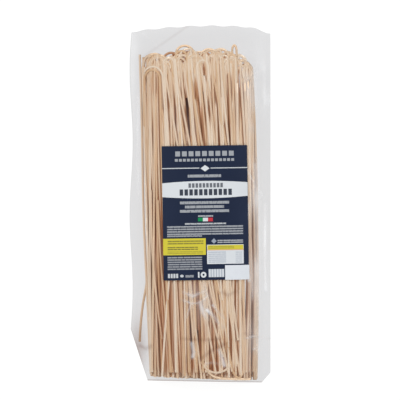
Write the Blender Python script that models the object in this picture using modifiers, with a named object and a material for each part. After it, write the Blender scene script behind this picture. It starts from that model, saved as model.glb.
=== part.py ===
"""A clear bag of dry spaghetti, lying on its back with the label up.

+X is the label's right, +Y runs from the bag's folded base to its flat top, +Z is up.
The origin is under the middle of the bag, on the surface that it lies on.

The bag is one solid: a pillow with thin film margins, and the strands that show
through the film are fused on at true size, some of them bent back in a loop.
The label and the blank sticker on its corner are thin solids of their own.
"""

import math
import random

import bmesh
import bpy

MM = 0.001

# Spaghetti
STRAND_DIAMETER = 1.85 * MM
STRAND_RADIUS = STRAND_DIAMETER / 2
FRONT_STRANDS = 33
BACK_STRANDS = 13
FRONT_REACH = 0.985  # share of the bundle's half width that the front strands cover
BACK_REACH = 0.90
LOW_SEAT = 0.15 * MM  # height of the front strands' centres above the core
HIGH_SEAT = 1.4 * MM  # and of the slanting strands that lie across them
SEAT_SPREAD = 0.22 * MM  # strands lie this much higher or lower than that
MOST_LEAN = 0.03  # sideways for each unit of length
LEG_POINTS = 7
SEED = 7

# Strands that slant across the front, low ends to the right
SLANT_STRANDS = 6
SLANT_FROM, SLANT_TO = -0.55, 0.68  # places across the bundle at SLANT_LEVEL
SLANT_LEVEL = 40.0 * MM
MOST_SLANT = 0.125
REVERSE_SLANT = -0.05  # of the short ones near the base that slant the other way
REVERSE_PLACES = (-0.78, -0.52)
REVERSE_TOP = -20.0 * MM
STRAY_TOP = (-43.4 * MM, -52.0 * MM)  # the strand that pokes into the left margin
STRAY_FOOT = (-47.9 * MM, -109.0 * MM)

# Bends where the strands hung to dry
LOOP_GROUP = (4, 7)  # strands that one loop spans
INNER_LOOP_CHANCE = 0.6
INNER_LOOP_STEP = 5.0 * MM
LOOP_ARC_POINTS = 7
BASE_LOOP_PLACES = ((0.18, 0.50), (0.56, 0.80))  # legs of the loops at the base
BASE_LOOP_TOP = -30.0 * MM
BASE_LOOP_CLEARANCE = 1.5 * MM  # from the bend to the bundle's base

# Bundle, as it lies in the film
BUNDLE_ABOVE = 16.5 * MM  # height above the film's side margins
BUNDLE_BELOW = 11.0 * MM  # depth below them
BUNDLE_LEFT = -44.3 * MM
BUNDLE_LEFT_SLOPE = -0.029
BUNDLE_RIGHT = 47.7 * MM
BUNDLE_RIGHT_WIDEST = -60.0 * MM
BUNDLE_RIGHT_CURVE = 0.16  # metres in for each square metre away from the widest place
BUNDLE_BASE = -137.6 * MM
BUNDLE_BASE_SLOPE = -0.049
FRONT_ROUNDNESS = 2.8  # exponents of the section's curve: 2 is an ellipse, more is squarer
BACK_ROUNDNESS = 5.0
LOOP_LINE = 123.0 * MM  # how far up the highest loops reach
LOOP_LINE_DROP_LEFT = 4.5 * MM
LOOP_LINE_DROP_RIGHT = 19.0 * MM
TAPER_START = 92.0 * MM
TAPER_END = 136.0 * MM
TAPER_POWER = 2.2
FRONT_INSET = 2.2 * MM  # the core lies this far inside the film
BACK_INSET = 0.75 * MM

# Film
BAG_HALF_WIDTH = 55.8 * MM
BAG_TOP = 141.2 * MM
BAG_BASE = -140.42 * MM
BAG_BASE_SLOPE = -0.018
MARGIN_HALF_THICKNESS = 0.4 * MM
MARGIN_WEDGE = 2.2 * MM  # how much thicker a margin is beside the bundle
MARGIN_WEDGE_LENGTH = 1.6 * MM
MARGIN_DROOP = 2.0 * MM
TOP_FLAP_DROOP = 3.0 * MM
BASE_WALL = 1.0 * MM
SIDE_WAVE = 1.2 * MM
SIDE_WAVE_LENGTH = 115.0 * MM
SIDE_WAVE_CREST = 106.0 * MM
TOP_WAVE = 0.45 * MM
TOP_WAVE_LENGTH = 17.4 * MM
TOP_CREST = 9.5 * MM
TOP_ARCH = 3.8 * MM
TOP_CORNER_DROP = 3.2 * MM
LEFT_CHAMFER_FOOT = -41.2 * MM
LEFT_CHAMFER_SLOPE = 0.33
RIGHT_CHAMFER_FOOT = 49.7 * MM
RIGHT_CHAMFER_SLOPE = 0.87

# Printed pieces
PAPER = 0.25 * MM
PAPER_GAP = 0.3 * MM
LABEL_SIZE = (67.3 * MM, 105.8 * MM)
LABEL_CENTRE = (4.2 * MM, -6.9 * MM)
STICKER_SIZE = (19.2 * MM, 11.5 * MM)
STICKER_CENTRE = (29.4 * MM, -53.8 * MM)
PRINT_TURN = math.radians(0.9)

COLOURS = {
    "pasta_in_film": ((0.66, 0.45, 0.26, 1.0), 0.5),
    "label_paper": ((0.017, 0.028, 0.065, 1.0), 0.45),
    "sticker_paper": ((0.78, 0.80, 0.83, 1.0), 0.55),
}


def clamp(value, low=0.0, high=1.0):
    return max(low, min(high, value))


def smoothstep(value):
    t = clamp(value)
    return t * t * (3 - 2 * t)


def film_left(y):
    """The film's left edge: a slow wave that runs in to the base's folded corner."""
    wave = SIDE_WAVE * math.cos(2 * math.pi * (y - SIDE_WAVE_CREST) / SIDE_WAVE_LENGTH)
    edge = -(BAG_HALF_WIDTH - SIDE_WAVE) - wave
    chamfer = LEFT_CHAMFER_FOOT - LEFT_CHAMFER_SLOPE * (y - BAG_BASE)
    return max(edge, chamfer)


def film_right(y):
    chamfer = RIGHT_CHAMFER_FOOT + RIGHT_CHAMFER_SLOPE * (y - BAG_BASE)
    return min(BAG_HALF_WIDTH, chamfer)


def film_top(x):
    """The film's cut top edge: a low arch with small waves, lower at its right corner."""
    across = (x - TOP_CREST) / BAG_HALF_WIDTH
    wave = TOP_WAVE * math.cos(2 * math.pi * (x - TOP_CREST) / TOP_WAVE_LENGTH)
    corner = TOP_CORNER_DROP * smoothstep((x / BAG_HALF_WIDTH - 0.68) / 0.32)
    return BAG_TOP - TOP_ARCH * across**2 + wave - corner


def film_base(x):
    return BAG_BASE + BAG_BASE_SLOPE * x


def bundle_sides(y):
    """The bundle's left and right edge at y."""
    left = BUNDLE_LEFT + BUNDLE_LEFT_SLOPE * y
    right = BUNDLE_RIGHT - BUNDLE_RIGHT_CURVE * (y - BUNDLE_RIGHT_WIDEST) ** 2
    return left, right


def bundle_base(x):
    return BUNDLE_BASE + BUNDLE_BASE_SLOPE * x


def loop_line(x):
    """How far up the loops and strand ends reach at x."""
    if x < 0:
        return LOOP_LINE - LOOP_LINE_DROP_LEFT * (x / BUNDLE_LEFT) ** 2
    return LOOP_LINE - LOOP_LINE_DROP_RIGHT * (x / BUNDLE_RIGHT) ** 3


def fullness(x, y):
    """1 where the bag is full, falling to 0 at its flat top and past its base wall."""
    taper = clamp((y - TAPER_START) / (TAPER_END - TAPER_START))
    wall = clamp((y - bundle_base(x)) / BASE_WALL + 1.0)
    return (1.0 - taper**TAPER_POWER) * math.sqrt(wall)


def across_bundle(x, y):
    """x as a share of the bundle's half width, -1 at its left edge and 1 at its right."""
    left, right = bundle_sides(y)
    return (2 * x - left - right) / (right - left)


def superellipse(share, roundness):
    """Height of a superellipse of unit height, share of the way out to its end."""
    return (1 - clamp(share) ** roundness) ** (1 / roundness)


def bag_faces(x, y, front_inset=0.0, back_inset=0.0):
    """(back, front) heights of the bag at x, y.

    Over the bundle each face is a superellipse, which its inset draws in. Past the
    bundle's edge only the margin's wedge is left, which thins towards the film's edge.
    """
    left, right = bundle_sides(y)
    outside = max(left - x, x - right, 0.0)
    full = fullness(x, y)
    share = abs(across_bundle(x, y))
    wedge = MARGIN_WEDGE * math.exp(-outside / MARGIN_WEDGE_LENGTH)
    margin = MARGIN_HALF_THICKNESS + wedge * full
    front = full * (BUNDLE_ABOVE - front_inset) * superellipse(share, FRONT_ROUNDNESS)
    back = full * (BUNDLE_BELOW - back_inset) * superellipse(share, BACK_ROUNDNESS)
    middle = middle_height(x, y)
    return middle - math.hypot(back, margin), middle + math.hypot(front, margin)


def core_faces(x, y):
    """(back, front) heights of the core, inside the strands that show."""
    return bag_faces(x, y, FRONT_INSET, BACK_INSET)


def middle_height(x, y):
    """Height of the film's side margins, which droop towards the edge and at the top."""
    left, right = bundle_sides(y)
    outside = max(left - x, x - right, 0.0)
    reach = max(left - film_left(y), film_right(y) - right, MM)
    flap = smoothstep((y - LOOP_LINE) / (BAG_TOP - LOOP_LINE))
    margin = math.hypot(BUNDLE_BELOW, MARGIN_HALF_THICKNESS + MARGIN_WEDGE)
    return margin - MARGIN_DROOP * smoothstep(outside / reach) - TOP_FLAP_DROOP * flap


def new_material(name):
    colour, roughness = COLOURS[name]
    material = bpy.data.materials.new(name)
    material.use_nodes = True
    shader = material.node_tree.nodes["Principled BSDF"]
    shader.inputs["Base Color"].default_value = colour
    shader.inputs["Roughness"].default_value = roughness
    shader.inputs["Metallic"].default_value = 0.0
    return material


def link_mesh(name, mesh, collection):
    obj = bpy.data.objects.new(name, mesh)
    collection.objects.link(obj)
    return obj


def bag_columns(y):
    """x of each column of the bag's grid at y: the left margin, the bundle, the right margin."""
    left, right = bundle_sides(y)
    middle, half = (left + right) / 2, (right - left) / 2
    margin = (1.0, 0.45, 0.15)
    columns = [left + (film_left(y) - left) * share for share in margin]
    steps = 18
    columns += [middle - half * math.cos(math.pi * k / steps) for k in range(steps + 1)]
    columns += [right + (film_right(y) - right) * share for share in reversed(margin)]
    return columns


def bag_rows(x):
    """y of each row of the bag's grid at x, close together at the base wall and the taper."""
    base = bundle_base(x)
    shares = (0.0, 0.006, 0.1, 0.25, 0.4, 0.55, 0.7, 0.8, 0.85, 0.89, 0.92, 0.945, 0.965, 0.982, 1.0)
    rows = [film_base(x), base - BASE_WALL]
    rows += [base + (film_top(x) - base) * share for share in shares]
    return rows


def build_core(collection):
    """The bag's pillow and margins: a grid, thickened by extrusion, shaped by core_faces()."""
    column_count = len(bag_columns(0.0))
    row_count = len(bag_rows(0.0))
    bm = bmesh.new()
    bmesh.ops.create_grid(
        bm, x_segments=column_count - 1, y_segments=row_count - 1, size=0.5
    )
    copied = bmesh.ops.extrude_face_region(bm, geom=bm.faces[:], use_keep_orig=True)
    front = {item for item in copied["geom"] if isinstance(item, bmesh.types.BMVert)}
    for vert in bm.verts:
        column = round((vert.co.x + 0.5) * (column_count - 1))
        row = round((vert.co.y + 0.5) * (row_count - 1))
        x = bag_columns(bag_rows(0.0)[row])[column]
        y = bag_rows(x)[row]
        x = bag_columns(y)[column]
        back_height, front_height = core_faces(x, y)
        vert.co = (x, y, front_height if vert in front else back_height)
    bmesh.ops.recalc_face_normals(bm, faces=bm.faces[:])
    bmesh.ops.triangulate(bm, faces=bm.faces[:])
    mesh = bpy.data.meshes.new("spaghetti_bag")
    bm.to_mesh(mesh)
    bm.free()
    return link_mesh("spaghetti_bag", mesh, collection)


def even_places(count, roundness, height, reach):
    """count places across the bundle, from -reach to reach, evenly spaced along its curved face."""
    steps = 400
    half = (BUNDLE_RIGHT - BUNDLE_LEFT) / 2
    curve = []
    for k in range(steps + 1):
        xi = -reach + 2 * reach * k / steps
        curve.append((xi, xi * half, height * superellipse(abs(xi), roundness)))
    lengths = [0.0]
    for a, b in zip(curve, curve[1:]):
        lengths.append(lengths[-1] + math.hypot(b[1] - a[1], b[2] - a[2]))
    places = []
    for n in range(count):
        wanted = lengths[-1] * n / (count - 1)
        at = next(k for k, length in enumerate(lengths) if length >= wanted - 1e-12)
        places.append(curve[at][0])
    return places


def on_front(x, y, seat):
    """The point of a centre line that lies seat above the core's front face."""
    return (x, y, core_faces(x, y)[1] + seat)


def leg(xi, lean, low, high, place):
    """A nearly straight run along the bundle from y = low to y = high.

    xi is its place across the bundle at the base, lean its drift for each unit of
    length, and place(x, y) the point on the face that it lies on.
    """
    points = []
    for k in range(LEG_POINTS):
        y = low + (high - low) * k / (LEG_POINTS - 1)
        left, right = bundle_sides(y)
        half = (right - left) / 2
        share = clamp(xi + lean * (y - BUNDLE_BASE) / half, -FRONT_REACH, FRONT_REACH)
        points.append(place((left + right) / 2 + share * half, y))
    return points


def loop_arc(start, end, rise, seat):
    """The bend that joins two legs: half an ellipse on the front, its apex rise beyond them."""
    middle, half = (start[0] + end[0]) / 2, (end[0] - start[0]) / 2
    points = []
    for k in range(1, LOOP_ARC_POINTS):
        angle = math.pi * k / LOOP_ARC_POINTS
        x = middle - half * math.cos(angle)
        y = start[1] + (end[1] - start[1]) * k / LOOP_ARC_POINTS + rise * math.sin(angle)
        points.append(on_front(x, y, seat))
    return points


def loop_groups(draw):
    """The front strands, split at random into the groups that loops span."""
    groups, start = [], 0
    while start < FRONT_STRANDS:
        size = draw.randint(*LOOP_GROUP)
        if FRONT_STRANDS - start - size < LOOP_GROUP[0]:
            size = FRONT_STRANDS - start
        groups.append(list(range(start, start + size)))
        start += size
    return groups


def front_paths(draw):
    """Centre lines of the strands on the bag's front, looped pairs as one path."""
    places = even_places(FRONT_STRANDS, FRONT_ROUNDNESS, BUNDLE_ABOVE, FRONT_REACH)
    leans = [MOST_LEAN * math.sin(1.3 + 2.1 * xi) * (1 - abs(xi)) for xi in places]
    seats = [LOW_SEAT + draw.uniform(-SEAT_SPREAD, SEAT_SPREAD) for _ in places]
    bases = [bundle_base(xi * BUNDLE_RIGHT) - draw.uniform(-0.6, 0.2) * MM for xi in places]

    def run(n, high):
        lean = leans[n] + draw.uniform(-0.004, 0.004)
        return leg(places[n], lean, bases[n], high, lambda x, y: on_front(x, y, seats[n]))

    paths = []
    for group in loop_groups(draw):
        pairs = [(group[0], group[-1])]
        if draw.random() < INNER_LOOP_CHANCE:
            pairs.append((group[1], group[-2]))
        for depth, (a, b) in enumerate(pairs):
            middle = (places[a] + places[b]) / 2 * BUNDLE_RIGHT
            rise = (places[b] - places[a]) / 2 * BUNDLE_RIGHT * draw.uniform(0.9, 1.25)
            apex = loop_line(middle) - depth * INNER_LOOP_STEP - draw.uniform(0.0, 4.0) * MM
            first, second = run(a, apex - rise), run(b, apex - rise)
            arc = loop_arc(first[-1], second[-1], rise, seats[a])
            paths.append(first + arc + second[::-1])
        looped = {n for pair in pairs for n in pair}
        for n in group:
            if n not in looped:
                high = loop_line(places[n] * BUNDLE_RIGHT) - draw.uniform(12.0, 30.0) * MM
                paths.append(run(n, high))
    return paths


def slanting_line(x_level, slope, low, high, seat):
    """A straight strand that slants over the others, x_level across at SLANT_LEVEL."""
    points = []
    for k in range(LEG_POINTS):
        y = low + (high - low) * k / (LEG_POINTS - 1)
        points.append(on_front(x_level - slope * (y - SLANT_LEVEL), y, seat))
    return points


def slanting_paths(draw):
    """Centre lines of the strands that lie across the others on the bag's front."""
    half = (BUNDLE_RIGHT - BUNDLE_LEFT) / 2
    spacing = (SLANT_TO - SLANT_FROM) / (SLANT_STRANDS - 1)
    paths = []
    for n in range(SLANT_STRANDS):
        xi = SLANT_FROM + spacing * (n + draw.uniform(-0.3, 0.3))
        slope = MOST_SLANT * (0.95 - xi) / (0.95 - SLANT_FROM) * draw.uniform(0.8, 1.1)
        seat = HIGH_SEAT + draw.uniform(-SEAT_SPREAD, SEAT_SPREAD)
        high = loop_line(xi * half) - draw.uniform(14.0, 34.0) * MM
        x_low = xi * half - slope * (BUNDLE_BASE - SLANT_LEVEL)
        low = bundle_base(x_low) + draw.uniform(0.0, 12.0) * MM
        paths.append(slanting_line(xi * half, slope, low, high, seat))
    for xi in REVERSE_PLACES:
        low = bundle_base(xi * half) + draw.uniform(0.0, 6.0) * MM
        x_level = xi * half + REVERSE_SLANT * (BUNDLE_BASE - SLANT_LEVEL) / 2
        paths.append(slanting_line(x_level, REVERSE_SLANT, low, REVERSE_TOP, HIGH_SEAT))
    return paths


def base_loop_paths():
    """Centre lines of the strands whose bend lies at the base."""
    half = (BUNDLE_RIGHT - BUNDLE_LEFT) / 2

    def place(x, y):
        return on_front(x, y, HIGH_SEAT)

    paths = []
    for left, right in BASE_LOOP_PLACES:
        rise = (right - left) / 2 * half
        low = bundle_base(half) + rise + BASE_LOOP_CLEARANCE
        first = leg(left, -MOST_LEAN, BASE_LOOP_TOP, low, place)
        second = leg(right, 0.0, BASE_LOOP_TOP, low, place)
        paths.append(first + loop_arc(first[-1], second[-1], -rise, HIGH_SEAT) + second[::-1])
    return paths


def stray_path():
    """The centre line of the strand that pokes out into the film's left margin."""
    (x_top, y_top), (x_foot, y_foot) = STRAY_TOP, STRAY_FOOT
    points = []
    for k in range(LEG_POINTS):
        share = k / (LEG_POINTS - 1)
        x, y = x_top + (x_foot - x_top) * share, y_top + (y_foot - y_top) * share
        points.append((x, y, middle_height(x, y) + MARGIN_HALF_THICKNESS))
    return points


def back_paths(draw):
    """Centre lines of the strands on the bag's underside."""

    def place(x, y):
        return (x, y, core_faces(x, y)[0])

    paths = []
    for xi in even_places(BACK_STRANDS, BACK_ROUNDNESS, BUNDLE_BELOW, BACK_REACH):
        high = loop_line(xi * BUNDLE_RIGHT) - draw.uniform(8.0, 20.0) * MM
        low = bundle_base(xi * BUNDLE_RIGHT)
        paths.append(leg(xi, draw.uniform(-0.006, 0.006), low, high, place))
    return paths


def build_strand(points, collection):
    """One strand as a mesh: a round bevel along a polyline, with its caps welded on."""
    curve = bpy.data.curves.new("strand_line", "CURVE")
    curve.dimensions = "3D"
    curve.bevel_depth = STRAND_RADIUS
    curve.bevel_resolution = 1
    curve.use_fill_caps = True
    spline = curve.splines.new("POLY")
    spline.points.add(len(points) - 1)
    for point, place in zip(spline.points, points):
        point.co = (*place, 1.0)
    line = bpy.data.objects.new("strand_line", curve)
    bpy.context.scene.collection.objects.link(line)
    graph = bpy.context.evaluated_depsgraph_get()
    mesh = bpy.data.meshes.new_from_object(line.evaluated_get(graph))
    bpy.data.objects.remove(line)
    bm = bmesh.new()
    bm.from_mesh(mesh)
    bmesh.ops.remove_doubles(bm, verts=bm.verts[:], dist=0.01 * MM)
    bmesh.ops.recalc_face_normals(bm, faces=bm.faces[:])
    bmesh.ops.triangulate(bm, faces=bm.faces[:])
    bm.to_mesh(mesh)
    bm.free()
    return link_mesh("strand", mesh, collection)


def apply_boolean(obj, operation, operand):
    """Applies one Boolean of a collection or an object to obj."""
    modifier = obj.modifiers.new(operation.lower(), "BOOLEAN")
    modifier.operation = operation
    modifier.solver = "MANIFOLD"
    if isinstance(operand, bpy.types.Collection):
        modifier.operand_type = "COLLECTION"
        modifier.collection = operand
    else:
        modifier.object = operand
    graph = bpy.context.evaluated_depsgraph_get()
    joined = bpy.data.meshes.new_from_object(obj.evaluated_get(graph))
    joined.name = obj.name
    obj.modifiers.clear()
    obj.data = joined


def build_bag(collection):
    """The filled bag: the core with every strand that shows fused on, flat underneath."""
    draw = random.Random(SEED)
    bag = build_core(collection)
    strands = bpy.data.collections.new("strands")
    bpy.context.scene.collection.children.link(strands)
    paths = front_paths(draw) + slanting_paths(draw) + back_paths(draw)
    for points in paths + base_loop_paths() + [stray_path()]:
        build_strand(points, strands)
    apply_boolean(bag, "UNION", strands)
    for strand in list(strands.objects):
        bpy.data.objects.remove(strand)
    bpy.data.collections.remove(strands)

    depth = 20 * MM
    bpy.ops.mesh.primitive_cube_add(size=1, location=(0, 0, -depth / 2))
    floor = bpy.context.object
    floor.scale = (3 * BAG_HALF_WIDTH, 3 * BAG_TOP, depth)
    bpy.context.view_layer.update()
    apply_boolean(bag, "DIFFERENCE", floor)
    bpy.data.objects.remove(floor)
    bag.data.materials.clear()
    bag.data.materials.append(new_material("pasta_in_film"))
    return bag


def front_slope(x, y):
    """How steeply the bag's front rises or falls across the bundle at x, y."""
    step = 0.5 * MM
    return (bag_faces(x + step, y)[1] - bag_faces(x - step, y)[1]) / (2 * step)


def build_paper(name, size, centre, gap, columns, rows, collection):
    """A rectangle of paper that follows the bag's front, gap above the highest strands."""
    clear = SEAT_SPREAD + STRAND_RADIUS + gap
    bm = bmesh.new()
    bmesh.ops.create_grid(bm, x_segments=columns, y_segments=rows, size=0.5)
    cos, sin = math.cos(PRINT_TURN), math.sin(PRINT_TURN)
    for vert in bm.verts:
        across, along = vert.co.x * size[0], vert.co.y * size[1]
        x = centre[0] + across * cos - along * sin
        y = centre[1] + across * sin + along * cos
        lift = HIGH_SEAT + clear * math.hypot(1.0, front_slope(x, y))
        vert.co = (x, y, core_faces(x, y)[1] + lift)
    mesh = bpy.data.meshes.new(name)
    bm.to_mesh(mesh)
    bm.free()
    paper = link_mesh(name, mesh, collection)
    thickness = paper.modifiers.new("thickness", "SOLIDIFY")
    thickness.thickness = PAPER
    thickness.offset = 1.0
    thickness.use_even_offset = True
    return paper


def build_label(collection):
    """The printed label on the bag's front."""
    label = build_paper("label", LABEL_SIZE, LABEL_CENTRE, PAPER_GAP, 22, 8, collection)
    label.data.materials.append(new_material("label_paper"))
    return label


def build_sticker(collection):
    """The small blank sticker over the label's lower right corner."""
    gap = 2 * PAPER_GAP + PAPER
    sticker = build_paper("blank_sticker", STICKER_SIZE, STICKER_CENTRE, gap, 8, 2, collection)
    sticker.data.materials.append(new_material("sticker_paper"))
    return sticker


def main():
    for obj in list(bpy.data.objects):
        bpy.data.objects.remove(obj)
    collection = bpy.data.collections.new("bag_of_spaghetti")
    bpy.context.scene.collection.children.link(collection)
    build_bag(collection)
    build_label(collection)
    build_sticker(collection)


if __name__ == "__main__":
    main()
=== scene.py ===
"""Looks of a clear bag of dry spaghetti that lies on its back, seen from straight above.

The bag is filled the way a real one is: strand after strand is dropped on a height
map of what already lies there, until the bundle fills the bag. The film is then drawn
tight over the strands that ended up on top, and the label is laid on the film. Lengths
are in millimetres until a mesh is made, and the origin lies under the middle of the
bag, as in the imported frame.
"""

import logging
import math
from collections.abc import Callable, Sequence
from dataclasses import dataclass, field
from enum import Enum

import bpy
import numpy as np
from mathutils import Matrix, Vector

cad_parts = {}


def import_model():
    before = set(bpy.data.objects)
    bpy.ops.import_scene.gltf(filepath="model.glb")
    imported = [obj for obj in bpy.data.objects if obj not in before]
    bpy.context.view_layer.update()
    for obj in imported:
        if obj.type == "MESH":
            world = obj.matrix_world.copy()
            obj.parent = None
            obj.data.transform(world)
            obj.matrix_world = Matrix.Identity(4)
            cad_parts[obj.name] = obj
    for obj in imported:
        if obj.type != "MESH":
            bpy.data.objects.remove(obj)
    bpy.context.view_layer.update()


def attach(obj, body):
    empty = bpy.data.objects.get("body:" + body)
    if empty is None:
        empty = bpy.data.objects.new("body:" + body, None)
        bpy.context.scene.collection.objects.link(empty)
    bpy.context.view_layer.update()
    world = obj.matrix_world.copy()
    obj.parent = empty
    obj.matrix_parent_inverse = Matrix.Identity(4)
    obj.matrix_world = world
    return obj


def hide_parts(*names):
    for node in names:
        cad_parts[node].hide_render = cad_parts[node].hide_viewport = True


MM = 0.001
LOG = logging.getLogger("spaghetti_bag")

Array = np.ndarray
Surface = Callable[[Array, Array], Array]
Socket = bpy.types.NodeSocket


def hex_colour(code: str, alpha: float = 1.0) -> tuple[float, float, float, float]:
    """Turns an sRGB hex code into a linear colour.

    Args:
        code: Six hex digits, such as "E6C9A0".
        alpha: The colour's alpha.

    Returns:
        The linear red, green, blue and alpha.
    """
    channels = [int(code[k : k + 2], 16) / 255 for k in (0, 2, 4)]
    linear = [c / 12.92 if c <= 0.04045 else ((c + 0.055) / 1.055) ** 2.4 for c in channels]
    return (*linear, alpha)


def smoothstep(value: Array) -> Array:
    """Rises smoothly from 0 at 0 to 1 at 1."""
    t = np.clip(value, 0.0, 1.0)
    return t * t * (3 - 2 * t)


def blur(values: Array, lengths: tuple[float, float]) -> Array:
    """Blurs a grid by a Gaussian, as a product in the frequency domain.

    Args:
        values: The grid.
        lengths: The Gaussian's deviation in rows and in columns.

    Returns:
        The blurred grid.
    """
    rows = np.fft.fftfreq(values.shape[0])[:, None] * lengths[0]
    columns = np.fft.fftfreq(values.shape[1])[None, :] * lengths[1]
    gain = np.exp(-2 * math.pi**2 * (rows**2 + columns**2))
    return np.fft.ifft2(np.fft.fft2(values) * gain).real


def soft_noise(shape: tuple[int, int], lengths: tuple[float, float], rng: np.random.Generator) -> Array:
    """Smooth random grid with mean 0 and deviation 1: blurred white noise.

    Args:
        shape: Rows and columns of the grid.
        lengths: The blur's deviation in rows and in columns.
        rng: Seeded source of the noise.

    Returns:
        The grid.
    """
    blurred = blur(rng.standard_normal(shape), lengths)
    return (blurred - blurred.mean()) / blurred.std()


def soft_clamp(x: Array, low: Array, high: Array, softness: float = 1.2) -> Array:
    """Keeps x between low and high, rounding off the corners by softness."""
    x = low + softness * np.logaddexp(0.0, (x - low) / softness)
    return high - softness * np.logaddexp(0.0, (high - x) / softness)


def arc_length(line: Array) -> Array:
    """Distance along a line of points, from 0 at its first."""
    return np.concatenate([[0.0], np.cumsum(np.linalg.norm(np.diff(line, axis=0), axis=1))])


def interpolate(grid: Array, u: Array, v: Array) -> Array:
    """A grid's value between its points.

    Args:
        grid: The grid.
        u: Places in columns, with fractions.
        v: Places in rows, with fractions.

    Returns:
        The value at each place, from its four neighbours.
    """
    i, j = u.astype(int), v.astype(int)
    s, t = u - i, v - j
    lower = grid[j, i] * (1 - s) + grid[j, i + 1] * s
    upper = grid[j + 1, i] * (1 - s) + grid[j + 1, i + 1] * s
    return lower * (1 - t) + upper * t


def grid_faces(index: Array) -> Array:
    """Faces of a grid of vertices, which look up."""
    corners = [index[:-1, :-1], index[:-1, 1:], index[1:, 1:], index[1:, :-1]]
    return np.stack(corners, axis=-1).reshape(-1, 4)


def tube_faces(rings: int, sides: int, start: int = 0) -> tuple[Array, list[list[int]]]:
    """Faces of a closed tube.

    Args:
        rings: How many rings it has.
        sides: Vertices in each ring.
        start: Number of its first vertex.

    Returns:
        The faces between its rings, and the two caps.
    """
    base = start + sides * np.arange(rings - 1)[:, None] + np.arange(sides)[None, :]
    turn = np.roll(base, -1, axis=1)
    walls = np.stack([base, base + sides, turn + sides, turn], axis=-1).reshape(-1, 4)
    last = start + sides * (rings - 1)
    return walls, [list(range(start, start + sides)), list(range(last, last + sides))[::-1]]


def add_piece(
    name: str,
    places: Array,
    faces: list[list[int]],
    uv: Array | None = None,
    sharp: float = 0.0,
    **values: Array,
) -> bpy.types.Object:
    """Puts a mesh in the scene as a smooth-shaded object that rides on the root body.

    Args:
        name: The object's name.
        places: Its vertices, in millimetres.
        faces: Each face's vertices.
        uv: Each vertex's UV place, in millimetres.
        sharp: Degrees between two faces from which their edge is sharp, 0 for never.
        values: Named attributes, with one number for each vertex.

    Returns:
        The object.
    """
    mesh = bpy.data.meshes.new(name)
    mesh.from_pydata((places * MM).tolist(), [], faces)
    if uv is not None:
        corner = np.empty(len(mesh.loops), np.int32)
        mesh.loops.foreach_get("vertex_index", corner)
        layer = mesh.uv_layers.new(name="UVMap")
        layer.data.foreach_set("uv", (uv * MM)[corner].astype(np.float32).ravel())
    for key, numbers in values.items():
        layer = mesh.attributes.new(key, "FLOAT", "POINT")
        layer.data.foreach_set("value", numbers.astype(np.float32))
    mesh.shade_smooth()
    if sharp:
        mesh.set_sharp_from_angle(angle=math.radians(sharp))
    obj = bpy.data.objects.new(name, mesh)
    bpy.context.scene.collection.objects.link(obj)
    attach(obj, "root")
    return obj


def smooth_curve(points: Array, step: float) -> Array:
    """Smooth curve through points: cubic pieces whose slopes are the points' own gradient.

    Args:
        points: x and y of each point.
        step: Spacing of the curve's points.

    Returns:
        Points along the curve.
    """
    chord = arc_length(points)
    if len(points) == 2:
        slopes = np.repeat((points[1:] - points[:1]) / chord[-1], 2, axis=0)
    else:
        slopes = np.gradient(points, chord, axis=0, edge_order=2)
    s = np.linspace(0.0, chord[-1], max(int(chord[-1] / step), 3))
    k = np.clip(np.searchsorted(chord, s, side="right") - 1, 0, len(points) - 2)
    span = (chord[k + 1] - chord[k])[:, None]
    t = (s - chord[k])[:, None] / span
    from_low = (2 * t**3 - 3 * t**2 + 1) * points[k] + (t**3 - 2 * t**2 + t) * span * slopes[k]
    from_high = (3 * t**2 - 2 * t**3) * points[k + 1] + (t**3 - t**2) * span * slopes[k + 1]
    return from_low + from_high


@dataclass(frozen=True)
class PhotoFrame:
    """Where the photograph's pixels lie on the object.

    Args:
        pixel: Size of one pixel on the object, in millimetres.
        centre: The pixel over the object's origin.
        middle: The pixel in the middle of the photograph.
        side: Pixels along the photograph's side.
    """

    pixel: float = 0.79
    centre: tuple[float, float] = (200.0, 204.0)
    middle: tuple[float, float] = (200.0, 200.0)
    side: int = 400

    def x(self, px: float) -> float:
        """Millimetres to the right of the origin of a pixel column."""
        return (px - self.centre[0]) * self.pixel

    def y(self, py: float) -> float:
        """Millimetres up the bag from the origin of a pixel row."""
        return (self.centre[1] - py) * self.pixel

    def points(self, pixels: Sequence[tuple[float, float]]) -> Array:
        """Places of several pixels, one row each."""
        return np.array([(self.x(px), self.y(py)) for px, py in pixels])

    def bell(self, x: Array, y: Array, centre: tuple[float, float], size: tuple[float, float]) -> Array:
        """A bell curve of the distance from a pixel, whose width and height are in pixels too."""
        across = (x - self.x(centre[0])) / (size[0] * self.pixel)
        along = (y - self.y(centre[1])) / (size[1] * self.pixel)
        return np.exp(-(across**2) - along**2)


PHOTO = PhotoFrame()


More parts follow.
